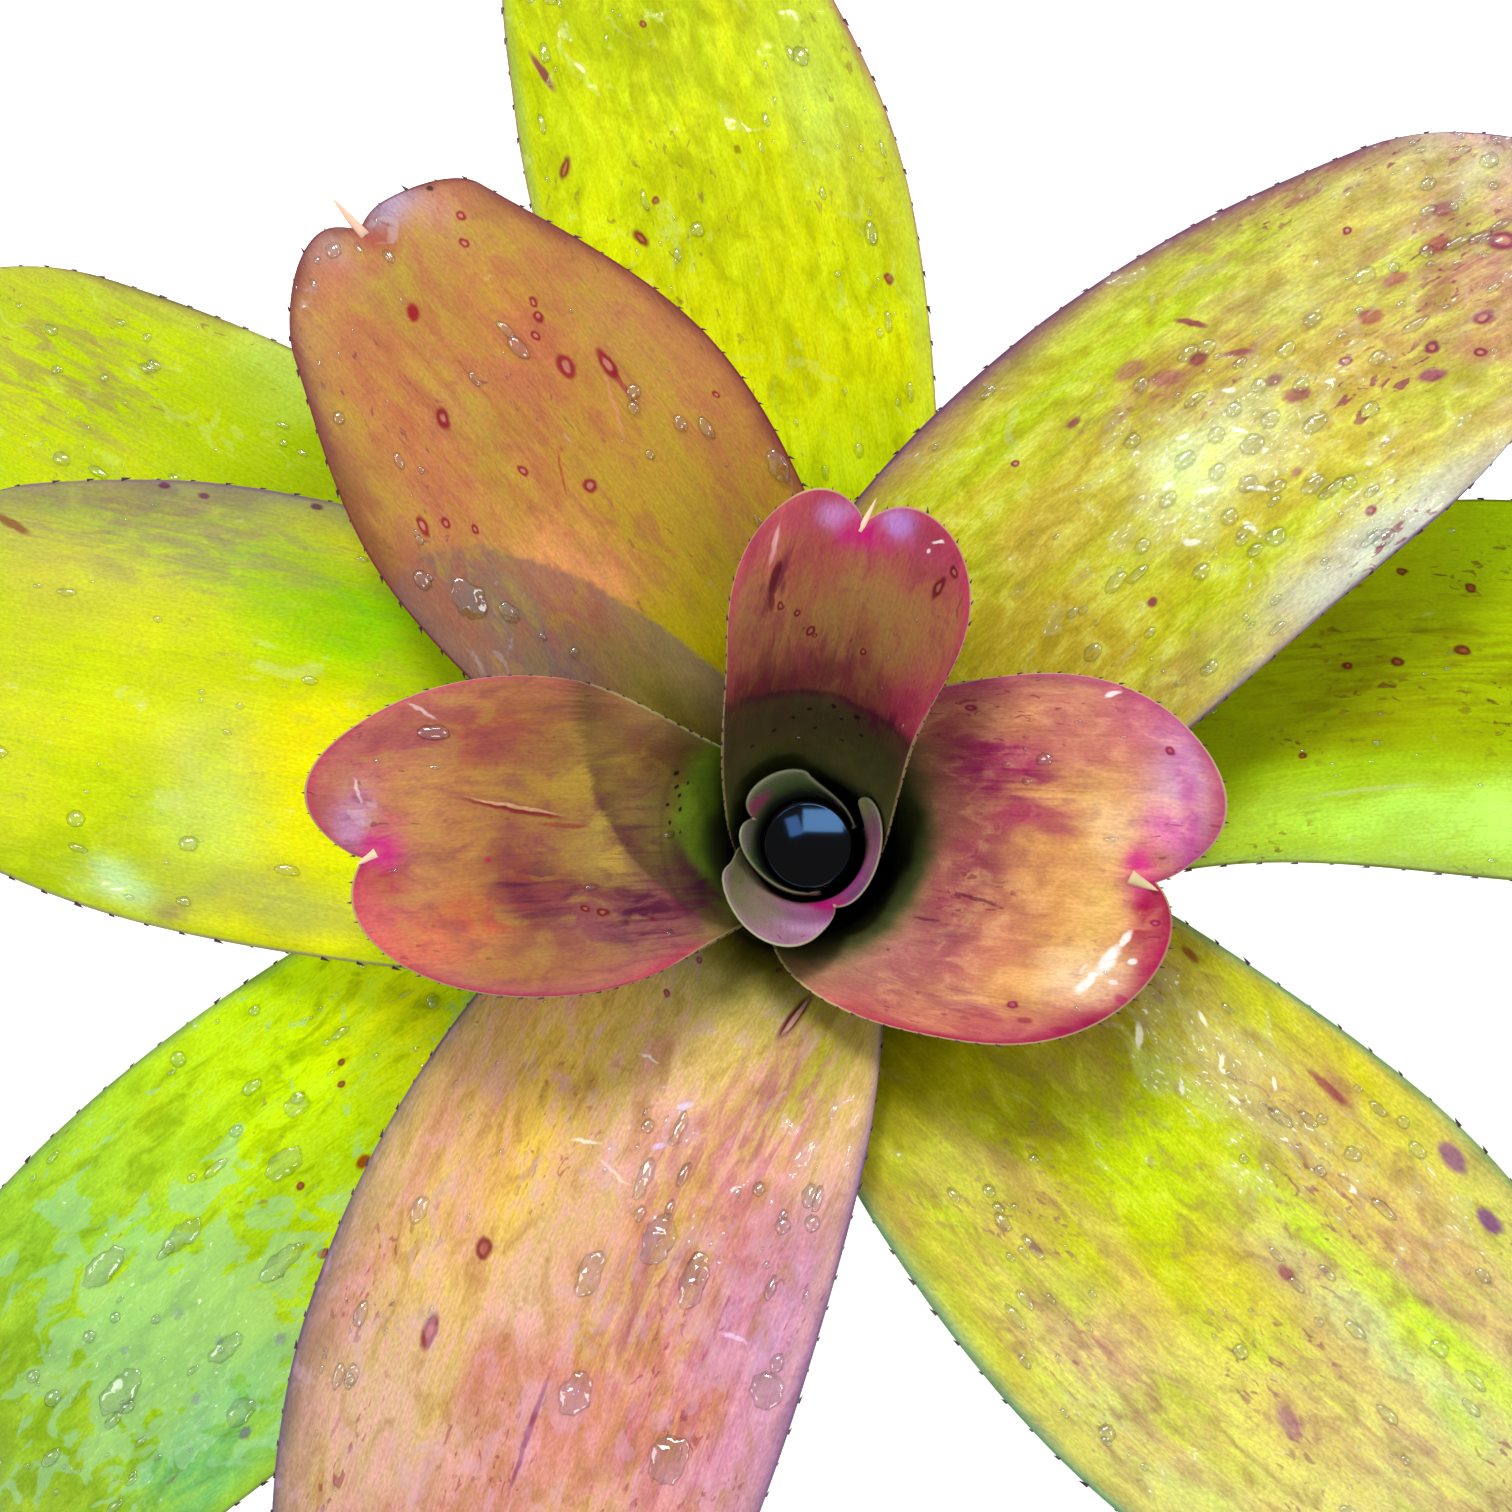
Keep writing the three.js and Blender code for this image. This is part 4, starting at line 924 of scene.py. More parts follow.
            (96, -3, 20, 10, "#F0FCC0", 0.9), (56, -2, 26, 9, "#CCA868", 0.6),
            (66, 16, 14, 6, 10, "#E0F084", 0.8), (120, 2, 14, 10, "#C4CC08", 0.7),
            (88, 16, 10, 5, 20, "#C08C60", 0.6), (124, -34, 14, 7, "#B08C58", 0.8),
            (104, -38, 9, 5, "#C48850", 0.7), (40, -16, 12, 9, "#C08468", 0.7),
            (24, 6, 14, 12, "#DCA498", 0.6), (84, 14, 22, 6, "#C4A84C", 0.6),
            # (80, -36) is a painted pale reflection on the wet band along the margin
            (44, 22, 24, 9, "#D8DC70", 0.6), (80, -36, 28, 7, "#DCE4DC", 0.85),
            (112, -26, 18, 9, "#C8CC08", 0.7), (18, 22, 10, 9, "#E8F0C4", 0.7),
            (8, 26, 10, 8, "#DCB0C0", 0.7), (130, 8, 16, 9, "#C8B050", 0.6), (20, -4, 8, 12, "#A84C78", 0.6),
        ],
        brushed=[(84, 14, 30, 10, 0.4), (34, 4, 22, 16, 0.5), (50, 32, 30, 6, 0.5)], brush_colour="#A04868",
        clouds=[
            ("cloud", 0.5, "#CCA844"), ("gap", 0.6, "#BCD414"), ("mottle", 0.5, "#DCE46C"),
            ("pit", 0.4, "#BCA828"),
        ],
        flecks=(0.59, 0.65, 0.8, "#943C60"), flecked=0.5,
        films=[(72, -32, 20, 8, 0.16), (92, -4, 30, 16, 0.18), (20, 14, 20, 16, 0.1)], shore=0.63,
        sheen=("#F4F8E0", 0.12, 0.06), dew=2.0, glints=0.66,
        spots=[
            (22, 2, 3.0, 2.1, 20), (44, 20, 1.0, 0.8), (63, -3, 1.4, 1.0), (48, -10, 1.5, 1.3),
            (41, -16, 1.2, 0.9), (121, 23, 0.9, 0.7), (36, -10, 2.2, 1.2),
        ],
        marks=[
            (22, 2, 2.2, 1.5, 20, "#E8D8E0", 0.95), (78, 22, 3.0, 0.8, 60, "#8C2450", 0.85),
            (93, 22, 3.4, 2.0, "#A45464", 0.65), (90, 16, 3.0, 1.8, 20, "#A45464", 0.6),
            (83, 15, 2.0, 1.5, "#902C50", 0.8), (77, 11, 3.2, 0.8, 30, "#983C60", 0.75),
            (76, 2, 1.8, 1.2, 10, "#8C2448", 0.8), (75, -3, 2.8, 1.6, 20, "#98385C", 0.75),
            (53, 2, 2.6, 1.8, 10, "#A44454", 0.75), (52, -15, 2.8, 1.6, 20, "#982C6C", 0.8),
            (44, 6, 2.6, 1.4, "#AC4460", 0.7), (27, 14, 2.2, 1.6, "#98304C", 0.8),
            (33, 8, 2.8, 2.0, 10, "#A44454", 0.7), (108, 21, 1.6, 0.9, "#903454", 0.8),
            # the white marks are painted glints on the wet film
            (85, -16, 1.2, 0.8, "#A44C60", 0.7), (101, -8, 2.2, 0.7, 30, "#FFFFF0", 0.95),
            (93, -14, 1.8, 0.6, 60, "#FFFFF0", 0.95), (106, -2, 1.5, 0.5, "#FFFFF0", 0.9),
            (88, -2, 1.6, 0.6, 70, "#FFFFF0", 0.95), (97, 4, 1.4, 0.5, 20, "#FFFFF0", 0.9),
            (110, -14, 1.8, 0.6, 40, "#FFFFF0", 0.9), (99, -19, 1.5, 0.5, 80, "#FFFFF0", 0.9),
            (84, 6, 1.2, 0.5, 30, "#FFFFF0", 0.9),
        ],
        ring_colours=("#8C2450", "#D8A080"), rings=0.12, margin=("#70486C", 0.9, 0.85), drops=150,
        puddles=[
            (88, -6, 2.6, 2.0), (94, -12, 2.2, 1.8), (100, 0, 2.4, 1.6), (76, -10, 3.2, 1.6),
            (70, 6, 2.4, 1.4), (104, 10, 2.0, 1.6), (84, -20, 2.8, 1.4), (62, 8, 2.0, 1.5),
            (48, 10, 2.6, 1.6), (96, -24, 2.4, 1.8), (92, 0, 1.9, 1.5), (97, -6, 2.1, 1.5),
            (86, 2, 1.7, 1.4), (82, -4, 2.3, 1.5), (79, 3, 1.8, 1.5), (90, -16, 2.2, 1.5),
            (101, -15, 2.0, 1.5), (108, -4, 2.2, 1.5), (73, -2, 1.9, 1.4), (66, -14, 2.2, 1.5),
            (58, -6, 1.9, 1.4), (112, -20, 2.0, 1.5), (118, -8, 1.8, 1.4), (80, 16, 2.0, 1.5),
            (94, 18, 1.8, 1.4),
        ],
    ),
]
for order, leaf in enumerate(blushed, start=len(heart)):
    look = leaf_look(f"blushed_leaf_skin_{order + 1}", leaf)
    leaf_body(f"blushed_leaf_{order + 1}", leaf, order, look)


# ---- Green leaves --------------------------------------------------------------------------
# The six oldest leaves, the plant's outer ring. They stay yellow-green, let much light through
# and carry old scars, purple flecks and films of rainwater.

GREEN = dict(PLAIN, lobes=(3, 2), notch=5, spike=8, spike_width=0.9, channel=6, roll=2, wave=1.2, crease=2.5,
             uneven=0.4, clear=0.25, flecks=(0.65, 0.71, 0.5, "#8A3A50"), margin=("#7A6A50", 0.8, 0.7),
             ring_colours=("#8A2A30", "#B87040"), rings=0.07, under="#98A848", vein=0.045, shore=0.64,
             sheen=("#E0F088", 0.2, 0.03), gloss="#F0F070", dew=0.8, drops=70)
green = [
    dict(
        GREEN, azimuth=167.5, reach=208, rise=124, slope=-12, sway=3, bow=-1, half_widths=[43, 47, 47, 32],
        shoulders=(36, 33), lobes=(2, 3), seed=9,
        bright=[(0, 2.4), (0.3, 2.3), (0.42, 1.5), (0.52, 1.08), (0.6, 0.95), (1, 0.9)],
        colours=[
            (0, "#3A5008"), (0.25, "#7CA408"), (0.38, "#B0C808"), (0.48, "#E0DC04"), (0.56, "#E8E810"),
            (0.64, "#E2E824"), (0.72, "#DCE814"), (0.8, "#D4DC2C"), (0.9, "#D0D440"), (1, "#C8D048"),
        ],
        edges=[(9, "#A8B468", 0.75, 0.45, -1), (3, "#84807C", 0.8, 0.5, -1), (4, "#A8C020", 0.6, 0.4, 1)],
        patches=[
            (50, -34, 34, 10, "#B4AC80", 0.7), (100, -24, 26, 14, "#94DC00", 1.0),
            (60, 37, 24, 9, "#9CB800", 0.8), (98, 38, 16, 8, "#B0B000", 0.8),
            (48, -40, 24, 8, "#8C9850", 0.8), (60, -34, 26, 9, "#B4C850", 0.7),
            (46, -20, 20, 9, "#D8CC58", 0.6), (76, -34, 12, 7, "#A0CC40", 0.6),
            (70, 22, 22, 12, "#B8D000", 0.8), (84, 12, 12, 12, "#DCE080", 0.6),
            (92, 38, 20, 6, "#B4B868", 0.7), (104, 4, 12, 14, "#ECE400", 0.7),
            (46, -40, 30, 5, "#A08C70", 0.6), (84, 24, 12, 9, "#D4E870", 0.7),
            (66, 40, 7, 4, "#C8ECC4", 0.85), (78, 43.5, 4, 2.4, "#98806C", 0.8),
            (66, -45, 26, 3, "#8C7878", 0.7),
        ],
        brushed=[(58, -34, 36, 11, 0.55)], brush_colour="#A07C78",
        clouds=[
            ("cloud", 0.5, "#C0D400"), ("gap", 0.3, "#E8E018"), ("mottle", 0.4, "#C4D41C"),
            ("pit", 0.4, "#E8EC48"),
        ],
        flecks=(0.63, 0.7, 0.35, "#98885C"),
        films=[(80, 24, 14, 10, 0.14), (66, 40, 10, 6, 0.1), (50, 8, 20, 9, 0.08)], shore=0.7,
        sheen=("#E8F4A8", 0.22, 0.05),
        marks=[
            (56, -44, 1.1, 0.8, "#6A2458", 0.85), (64, -43.5, 1.4, 0.8, "#74305C", 0.85),
            (85, -46.5, 1.2, 0.7, "#6A2458", 0.85), (30, -30, 4.5, 1.0, 20, "#8C4838", 0.8),
        ],
        margin=("#806080", 0.9, 0.7), drops=50,
    ),
    dict(
        GREEN, azimuth=315, reach=220, rise=118, slope=-14, sway=6, bow=-3, half_widths=[31, 48, 52, 31],
        shoulders=(35, 38), seed=10, vein=0.06, bright=[(0, 2.7), (0.2, 1.8), (0.3, 1.2), (1, 1.08)],
        colours=[
            (0, "#3A3A04"), (0.16, "#706C04"), (0.26, "#8C8804"), (0.34, "#A8A40C"), (0.42, "#BCC404"),
            (0.52, "#CCC41C"), (0.64, "#D8CC68"), (0.76, "#DCD688"), (1, "#CCC880"),
        ],
        edges=[
            (8, "#A8B468", 0.6, 0.3, -1), (3.4, "#6C9478", 0.8, 0.2, -1), (5, "#BCA05C", 0.6, 0.25, 1),
            (3, "#84A468", 0.7, 0.2, 1),
        ],
        patches=[
            (126, 4, 16, 10, "#C0D800", 0.9), (112, 31, 20, 9, "#C4A874", 0.8),
            (68, 21, 4.5, 3, "#AC7090", 0.7), (69, -15, 4.5, 3, "#AC7098", 0.65),
            (90, 7, 3, 2, "#98445C", 0.7), (103, 41, 5, 1.8, "#A03C5C", 0.8),
            (136, -42, 2.6, 1.8, "#8C3048", 0.8), (118, -34, 30, 9, "#CCBC5C", 0.7),
            (100, -30, 20, 10, "#DCC494", 0.7), (80, -18, 22, 8, "#E0E070", 0.7),
            (86, 10, 22, 8, "#C8AC7C", 0.6), (70, 30, 24, 10, "#D8B480", 0.6),
            (76, -40, 30, 7, "#CCDC80", 0.7), (144, -26, 12, 9, "#C4CC40", 0.7),
            (64, 10, 32, 5, "#D4E8A0", 0.7), (72, 17, 36, 4, "#D0F424", 1.0),
        ],
        brushed=[(100, -32, 30, 14, 0.4), (80, 24, 34, 12, 0.4), (60, -4, 30, 10, 0.35)],
        brush_colour="#A85478",
        clouds=[
            ("cloud", 0.5, "#CC9C74"), ("gap", 0.6, "#BCD408"), ("mottle", 0.4, "#D8DC50"),
            ("pit", 0.45, "#B89458"),
        ],
        flecks=(0.58, 0.64, 0.6, "#904068"),
        films=[(120, 26, 32, 13, 0.27), (76, 36, 30, 10, 0.1), (80, -40, 30, 8, 0.1)], shore=0.68,
        sheen=("#ECF4C0", 0.14, 0.05), dew=2.0, glints=0.66,
        marks=[
            (76, 47, 3.6, 2.2, 10, "#94488C", 0.8), (64, 42, 3.2, 1.8, "#84388C", 0.85),
            (103, 41, 5.0, 1.0, "#9C3854", 0.75), (138, 43, 2.0, 1.0, "#8C3430", 0.75),
            (90, 7, 2.0, 1.3, "#983C60", 0.7), (69, -15, 4.0, 1.8, 20, "#A8648C", 0.55),
            # the white marks are painted glints on the wet film
            (141, 22, 2.4, 0.9, 60, "#FFFFE8", 0.95), (131, 34, 1.6, 0.6, 20, "#FFFFE8", 0.95),
            (124, 30, 1.4, 0.6, 70, "#FFFFE8", 0.95), (128, 20, 1.3, 0.5, 30, "#FFFFE8", 0.9),
            (118, 26, 1.4, 0.5, "#FFFFE8", 0.9), (113, 34, 1.3, 0.5, 50, "#FFFFE8", 0.9),
        ],
        rings=0.05, margin=("#64906C", 1.0, 0.8), drops=150,
    ),
    dict(
        GREEN, azimuth=97, reach=220, rise=112, slope=-16, sway=16, bow=-5, half_widths=[32, 37, 40, 29],
        shoulders=(30, 36), lobes=(2, 3), seed=11, bright=[(0, 1.5), (0.35, 1.2), (0.5, 1), (1, 0.85)],
        colours=[
            (0, "#5A7004"), (0.2, "#A8B808"), (0.32, "#CCE00C"), (0.42, "#D8DC04"), (0.5, "#D4DC04"),
            (0.6, "#CCD400"), (0.7, "#CCDA04"), (0.8, "#C0CE00"), (1, "#C4D410"),
        ],
        edges=[(7, "#BCCC50", 0.7, 0.4, -1), (3, "#A04868", 0.85, 0.68, -1), (3, "#98B45C", 0.7, 0.3, 1)],
        patches=[
            (60, -26, 20, 9, "#C4D860", 0.7), (84, 26, 14, 8, "#E8F400", 0.7),
            (116, 6, 20, 10, "#E4EC04", 0.6), (44, 4, 16, 16, "#A8BC00", 0.6),
            (84, -32, 14, 6, "#B8B030", 0.6),
        ],
        brushed=[(60, 0, 50, 24, 0.25)], brush_colour="#90880C",
        clouds=[
            ("cloud", 0.5, "#B4C800"), ("gap", 0.5, "#E8E800"), ("mottle", 0.4, "#D4E02C"),
            ("pit", 0.4, "#A8A808"),
        ],
        flecks=(0.62, 0.68, 0.5, "#7A3040"),
        spots=[(80, 14, 0.9, 0.8), (40, 6, 1.0, 0.7), (100, -32, 1.2, 1.0)],
        marks=[
            (68, 31, 2.6, 1.1, 30, "#7C1C30", 0.95), (68, 31, 1.5, 0.4, 30, "#C88048", 0.8),
            (87, 19, 2.4, 1.2, -30, "#7C1C28", 0.95), (87, 19, 1.2, 0.4, -30, "#C07040", 0.8),
            (46, 30, 5.0, 0.9, -15, "#84284C", 0.9), (72, -6, 1.0, 0.8, "#8C7808", 0.8),
        ],
        margin=("#A05870", 0.6, 0.6), drops=90,
    ),
    dict(
        GREEN, azimuth=215.5, reach=224, rise=104, slope=-18, sway=8, bow=-5, half_widths=[40, 41, 43, 38],
        shoulders=(33, 38), seed=12, bright=[(0, 2), (0.35, 2), (0.5, 1.25), (1, 1.03)],
        colours=[
            (0, "#4A5E04"), (0.2, "#98AC04"), (0.35, "#BCD004"), (0.46, "#BCD804"), (0.56, "#B8D810"),
            (0.66, "#A8CC28"), (0.78, "#98C838"), (0.9, "#94B830"), (1, "#98B840"),
        ],
        edges=[(5, "#94B844", 0.6, 0.4, 1), (2.5, "#7C9C58", 0.7, 0.3, -1)],
        patches=[
            (104, -18, 20, 9, "#C8E400", 0.7), (44, 24, 12, 12, "#8CB400", 0.8),
            # (46, 30) and (60, 24), mint green, are a painted reflection of the sky in the water film
            (30, -4, 12, 14, "#90B420", 0.6), (46, 30, 18, 8, "#58B888", 0.9),
            (60, 24, 10, 7, "#78C478", 0.8), (56, -12, 14, 8, "#9CD030", 0.8),
        ],
        clouds=[
            ("cloud", 0.5, "#90B808"), ("gap", 0.5, "#C8DC08"), ("mottle", 0.4, "#B4D840"),
            ("pit", 0.4, "#7CA000"),
        ],
        films=[(62, 8, 34, 26, 10, 0.23), (40, 0, 30, 30, 0.15), (90, 12, 12, 10, 0.12)], shore=0.66,
        sheen=("#A8DCA8", 0.42, 0.03), dew=1.4, glints=0.74,
        spots=[(96, 0, 1.0, 0.8), (92, 14, 1.2, 1.0), (114, -12, 1.0, 0.7), (116, -16, 0.8, 0.6)],
        marks=[
            (110, 4, 1.8, 1.2, "#A02414", 0.9), (74, 22, 1.6, 1.2, "#74507C", 0.8),
            (64, 14, 1.2, 0.9, "#746C80", 0.7), (60, 4, 1.4, 1.0, "#7C7C80", 0.6),
            (52, 20, 1.3, 1.0, "#6C6C8C", 0.7), (46, 2, 1.0, 0.8, "#747488", 0.6),
            (56, 32, 1.6, 1.0, "#706888", 0.7),
        ],
        margin=("#6A8450", 0.8, 0.6), drops=100,
        puddles=[
            (96, -6, 4.6, 2.6), (84, 10, 6.0, 2.0), (70, -8, 5.0, 2.2), (64, 16, 4.4, 2.0),
            (52, -14, 6.0, 2.6), (104, -14, 3.0, 2.4), (58, 28, 3.6, 2.6), (40, 8, 6.5, 3.0),
        ],
    ),
    dict(
        GREEN, azimuth=16, reach=214, rise=98, slope=-20, sway=-34, bow=7, half_widths=[30, 32, 42, 41],
        shoulders=(36, 34), lobes=(2, 3), seed=13,
        bright=[(0, 1.5), (0.4, 1.3), (0.5, 1.15), (0.65, 1.25), (0.8, 1.5), (1, 1.4)],
        colours=[
            (0, "#3A4804"), (0.25, "#6E7C04"), (0.38, "#8A9A04"), (0.5, "#949E04"), (0.62, "#98A804"),
            (0.8, "#98B804"), (1, "#98BC18"),
        ],
        edges=[(4, "#90A868", 0.6, 0.3, -1)],
        patches=[
            (92, -26, 34, 8, "#BCE84C", 0.9), (70, -30, 26, 9, "#BCE870", 0.8),
            (98, -16, 30, 4, "#A8D018", 0.7),
        ],
        brushed=[(80, 6, 50, 16, 0.35)], brush_colour="#6C4408",
        clouds=[("cloud", 0.4, "#A4B404"), ("mottle", 0.4, "#8C9C04")], flecks=(0.59, 0.65, 0.7, "#6A2A20"),
        films=[(70, -32, 30, 7, 0.14)], shore=0.72, sheen=("#D0F090", 0.25, 0.03), dew=0.4,
        spots=[
            (70, 8, 1.6, 1.1), (84, 6, 1.3, 1.0), (94, 6, 1.0, 0.8), (104, 20, 1.4, 1.0), (60, -4, 2.2, 1.6),
            (64, 22, 1.1, 0.9), (108, -12, 0.9, 0.7), (76, 26, 1.0, 0.8),
        ],
        marks=[(96, -21, 13, 0.55, "#C8D878", 0.7), (88, 24, 3.4, 0.8, 10, "#7C3820", 0.7)],
        ring_colours=("#64181C", "#A85830"), rings=0.12, margin=("#5A5030", 0.8, 0.7), drops=30,
    ),
    dict(
        GREEN, azimuth=151, reach=243, rise=90, slope=-22, sway=0, bow=0, half_widths=[48, 44, 39, 29],
        shoulders=(38, 46), seed=14, bright=[(0, 1.5), (0.4, 1.3), (0.5, 1)],
        colours=[
            (0, "#4A5A04"), (0.4, "#90B004"), (0.52, "#A8C404"), (0.6, "#BCD404"), (0.7, "#C8DC08"),
            (0.8, "#C4D808"), (0.9, "#C4CC30"), (1, "#C4C858"),
        ],
        edges=[(7, "#C0C05C", 0.6, 0.5, -1), (2.5, "#90804C", 0.7, 0.4, -1)],
        patches=[(92, -34, 14, 8, "#C4DC6C", 0.7), (110, 10, 12, 8, "#B4AC5C", 0.6)],
        brushed=[(50, -14, 26, 20, 0.5)], brush_colour="#9C6068",
        clouds=[
            ("cloud", 0.5, "#B0C808"), ("gap", 0.5, "#D8D81C"), ("mottle", 0.45, "#A4B020"),
            ("pit", 0.4, "#DCEC40"),
        ],
        margin=("#6A5050", 0.8, 0.7), drops=80,
    ),
]
for order, leaf in enumerate(green, start=len(heart) + len(blushed)):
    look = leaf_look(f"green_leaf_skin_{order + 1}", leaf)
    leaf_body(f"green_leaf_{order + 1}", leaf, order, look)


# ---- Margin spines -------------------------------------------------------------------------
# Small stiff teeth of the leaf's own horny margin, leaning towards its tip and dark purple. They
# stand closer together and are smaller on the young heart leaves than on the old ones outside.

def group(name, inputs):
    """A Geometry Nodes tree with its named inputs: the tree, its first node and its sockets."""
    tree = bpy.data.node_groups.new(name, "GeometryNodeTree")
    tree.interface.new_socket("Geometry", in_out="INPUT", socket_type="NodeSocketGeometry")
    sockets = {}
    for label, kind, value in inputs:
        socket = tree.interface.new_socket(label, in_out="INPUT", socket_type=kind)
        if value is not None:
            socket.default_value = value
        sockets[label] = socket.identifier
    tree.interface.new_socket("Geometry", in_out="OUTPUT", socket_type="NodeSocketGeometry")
    return tree, tree.nodes.new("NodeGroupInput"), sockets


def grown(name, points, edges, attributes, tree, sockets, values):
    """Runs a Geometry Nodes tree over points in millimetres and keeps the result as a plain mesh."""
    base = bpy.data.meshes.new(name + "_base")
    base.from_pydata((np.concatenate(points) / 1000).tolist(), edges, [])
    add_attributes(base, {label: np.concatenate(parts) for label, parts in attributes.items()})
    holder = bpy.data.objects.new(name + "_base", base)
    scene.collection.objects.link(holder)
    modifier = holder.modifiers.new(name, "NODES")
    modifier.node_group = tree
    for label, value in values.items():
        modifier[sockets[label]] = value
    evaluated = holder.evaluated_get(bpy.context.evaluated_depsgraph_get())
    made = bpy.data.objects.new(name, bpy.data.meshes.new_from_object(evaluated))
    made.data.name = name
    scene.collection.objects.link(made)
    bpy.data.objects.remove(holder)
    return made


# Horny leaf margin: dry, hard tissue with a dull gloss.
spine_skin, tree = new_material("horny_spine_tissue")
horny = add(tree, "ShaderNodeBsdfPrincipled", {"Base Color": linear("#3E1430"), "Roughness": 0.45})
add(tree, "ShaderNodeOutputMaterial", {"Surface": horny})

tree, start, sockets = group("spines_along_margin", [
    ("Spacing", "NodeSocketFloat", 0.005), ("Length", "NodeSocketFloat", 0.0015),
    ("Width", "NodeSocketFloat", 0.00045), ("Lean", "NodeSocketFloat", 0.7),
    ("Seed", "NodeSocketInt", 5), ("Material", "NodeSocketMaterial", None),
])
curve = add(tree, "GeometryNodeMeshToCurve", {"Mesh": start.outputs["Geometry"]})
even = add(tree, "GeometryNodeResampleCurve", {"Curve": curve, "Length": start.outputs["Spacing"]},
           mode="LENGTH")
out_way, tip_way = (add(tree, "GeometryNodeInputNamedAttribute", {"Name": label}, data_type="FLOAT_VECTOR")
                    for label in ("out", "way"))
leaning = add(tree, "ShaderNodeVectorMath", {0: tip_way, "Scale": start.outputs["Lean"]}, operation="SCALE")
points_to = add(tree, "ShaderNodeVectorMath", {0: out_way, 1: leaning}, operation="ADD")
upright = add(tree, "FunctionNodeAlignRotationToVector", {"Vector": points_to}, axis="Z")
cone = add(tree, "GeometryNodeMeshCone", {
    "Vertices": 6, "Radius Top": 0.00003, "Radius Bottom": start.outputs["Width"],
    "Depth": start.outputs["Length"]})
sizes = add(tree, "FunctionNodeRandomValue", {2: 0.5, 3: 1.25, "Seed": start.outputs["Seed"]},
            data_type="FLOAT").outputs[1]
set_out = add(tree, "GeometryNodeInstanceOnPoints", {
    "Points": even, "Instance": cone, "Rotation": upright, "Scale": sizes})
real = add(tree, "GeometryNodeRealizeInstances", {0: set_out})
dressed = add(tree, "GeometryNodeSetMaterial", {"Geometry": real, "Material": start.outputs["Material"]})
add(tree, "NodeGroupOutput", {0: dressed})

# each row of spines: piece, its margin lines, spacing, length and width in metres, and its slot
HEART_LINES, BLUSHED_LINES = 2 * len(heart), 2 * (len(heart) + len(blushed))
BARE_LINES = 4  # the two leaves round the cup have no spines
for name, lines, spacing, length, width, slot in (
    ("heart_margin_spines", margins[BARE_LINES:HEART_LINES], 0.0040, 0.0010, 0.00026, "heart_leaf"),
    ("blushed_margin_spines", margins[HEART_LINES:BLUSHED_LINES], 0.0062, 0.0014, 0.00034, "blushed_leaf"),
    ("green_margin_spines", margins[BLUSHED_LINES:], 0.0072, 0.0017, 0.00040, "green_leaf"),
):
    edges, first = [], 0
    for margin in lines:
        edges += [(first + i, first + i + 1) for i in range(len(margin["line"]) - 1)]
        first += len(margin["line"])
    points, outs, ways = ([margin[label] for margin in lines] for label in ("line", "out", "way"))
    spines = grown(name, points, edges, {"out": outs, "way": ways}, tree, sockets, {
        "Spacing": spacing, "Length": length, "Width": width, "Lean": 0.7, "Seed": 5, "Material": spine_skin})
    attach(spines, "root")


# ---- Rain drops ----------------------------------------------------------------------------
# Rain that stands on the wet blades: many small beads, most of them under two millimetres wide,
# held up by the waxy skin, and a few flat puddles of uneven outline where beads have run together.

# Clear water on a leaf: what is under it shows through, and its skin mirrors the lights.
drop_look, tree = new_material("clear_rain_drops")
edge_on = add(tree, "ShaderNodeLayerWeight", {"Blend": 0.5}).outputs["Facing"]
rim_tint = add(tree, "ShaderNodeMapRange", {0: edge_on, 1: 0.35, 2: 0.9, 3: 1.0, 4: 0.68})
# a drop is a lens, and its shading is painted: it is darkened on the side facing the window light and left
# clear on the far side
normal = add(tree, "ShaderNodeNewGeometry").outputs["Normal"]
lit_side = add(tree, "ShaderNodeVectorMath", {0: normal, 1: (-0.35, 0.93, 0.0)}, operation="DOT_PRODUCT")
lens = add(tree, "ShaderNodeMapRange", {0: lit_side.outputs["Value"], 1: -0.1, 2: 0.6, 3: 1.0, 4: 0.74})
lens = add(tree, "ShaderNodeMath", {0: lens, 1: rim_tint}, operation="MULTIPLY")
clear = add(tree, "ShaderNodeBsdfTransparent", {"Color": lens})
mirror = add(tree, "ShaderNodeBsdfPrincipled", {
    "Base Color": linear("#FFFFFF"), "Metallic": 1.0, "Roughness": 0.09})
skin_share = add(tree, "ShaderNodeMath", {0: edge_on, 1: 3.0}, operation="POWER")
skin_share = add(tree, "ShaderNodeMapRange", {0: skin_share, 3: 0.12, 4: 0.40})
both = add(tree, "ShaderNodeMixShader", {0: skin_share, 1: clear, 2: mirror})
add(tree, "ShaderNodeOutputMaterial", {"Surface": both})

tree, start, sockets = group("rain_on_leaves", [
    ("Wobble", "NodeSocketFloat", 0.35), ("Grain", "NodeSocketFloat", 600.0),
    ("Fineness", "NodeSocketInt", 2), ("Material", "NodeSocketMaterial", None),
])
stands, runs, spread = (
    add(tree, "GeometryNodeInputNamedAttribute", {"Name": label}, data_type="FLOAT_VECTOR")
    for label in ("up", "way", "spread"))
upright = add(tree, "FunctionNodeAlignRotationToVector", {"Vector": stands}, axis="Z")
facing = add(tree, "FunctionNodeAlignRotationToVector", {"Rotation": upright, "Vector": runs},
             axis="X", pivot_axis="Z")
bead = add(tree, "GeometryNodeMeshIcoSphere", {"Radius": 1.0, "Subdivisions": start.outputs["Fineness"]})
beads = add(tree, "GeometryNodeInstanceOnPoints", {
    "Points": start.outputs["Geometry"], "Instance": bead, "Rotation": facing, "Scale": spread})
real = add(tree, "GeometryNodeRealizeInstances", {0: beads})
where = add(tree, "GeometryNodeInputPosition")
noise = add(tree, "ShaderNodeTexNoise", {"Vector": where, "Scale": start.outputs["Grain"], "Detail": 1.0})
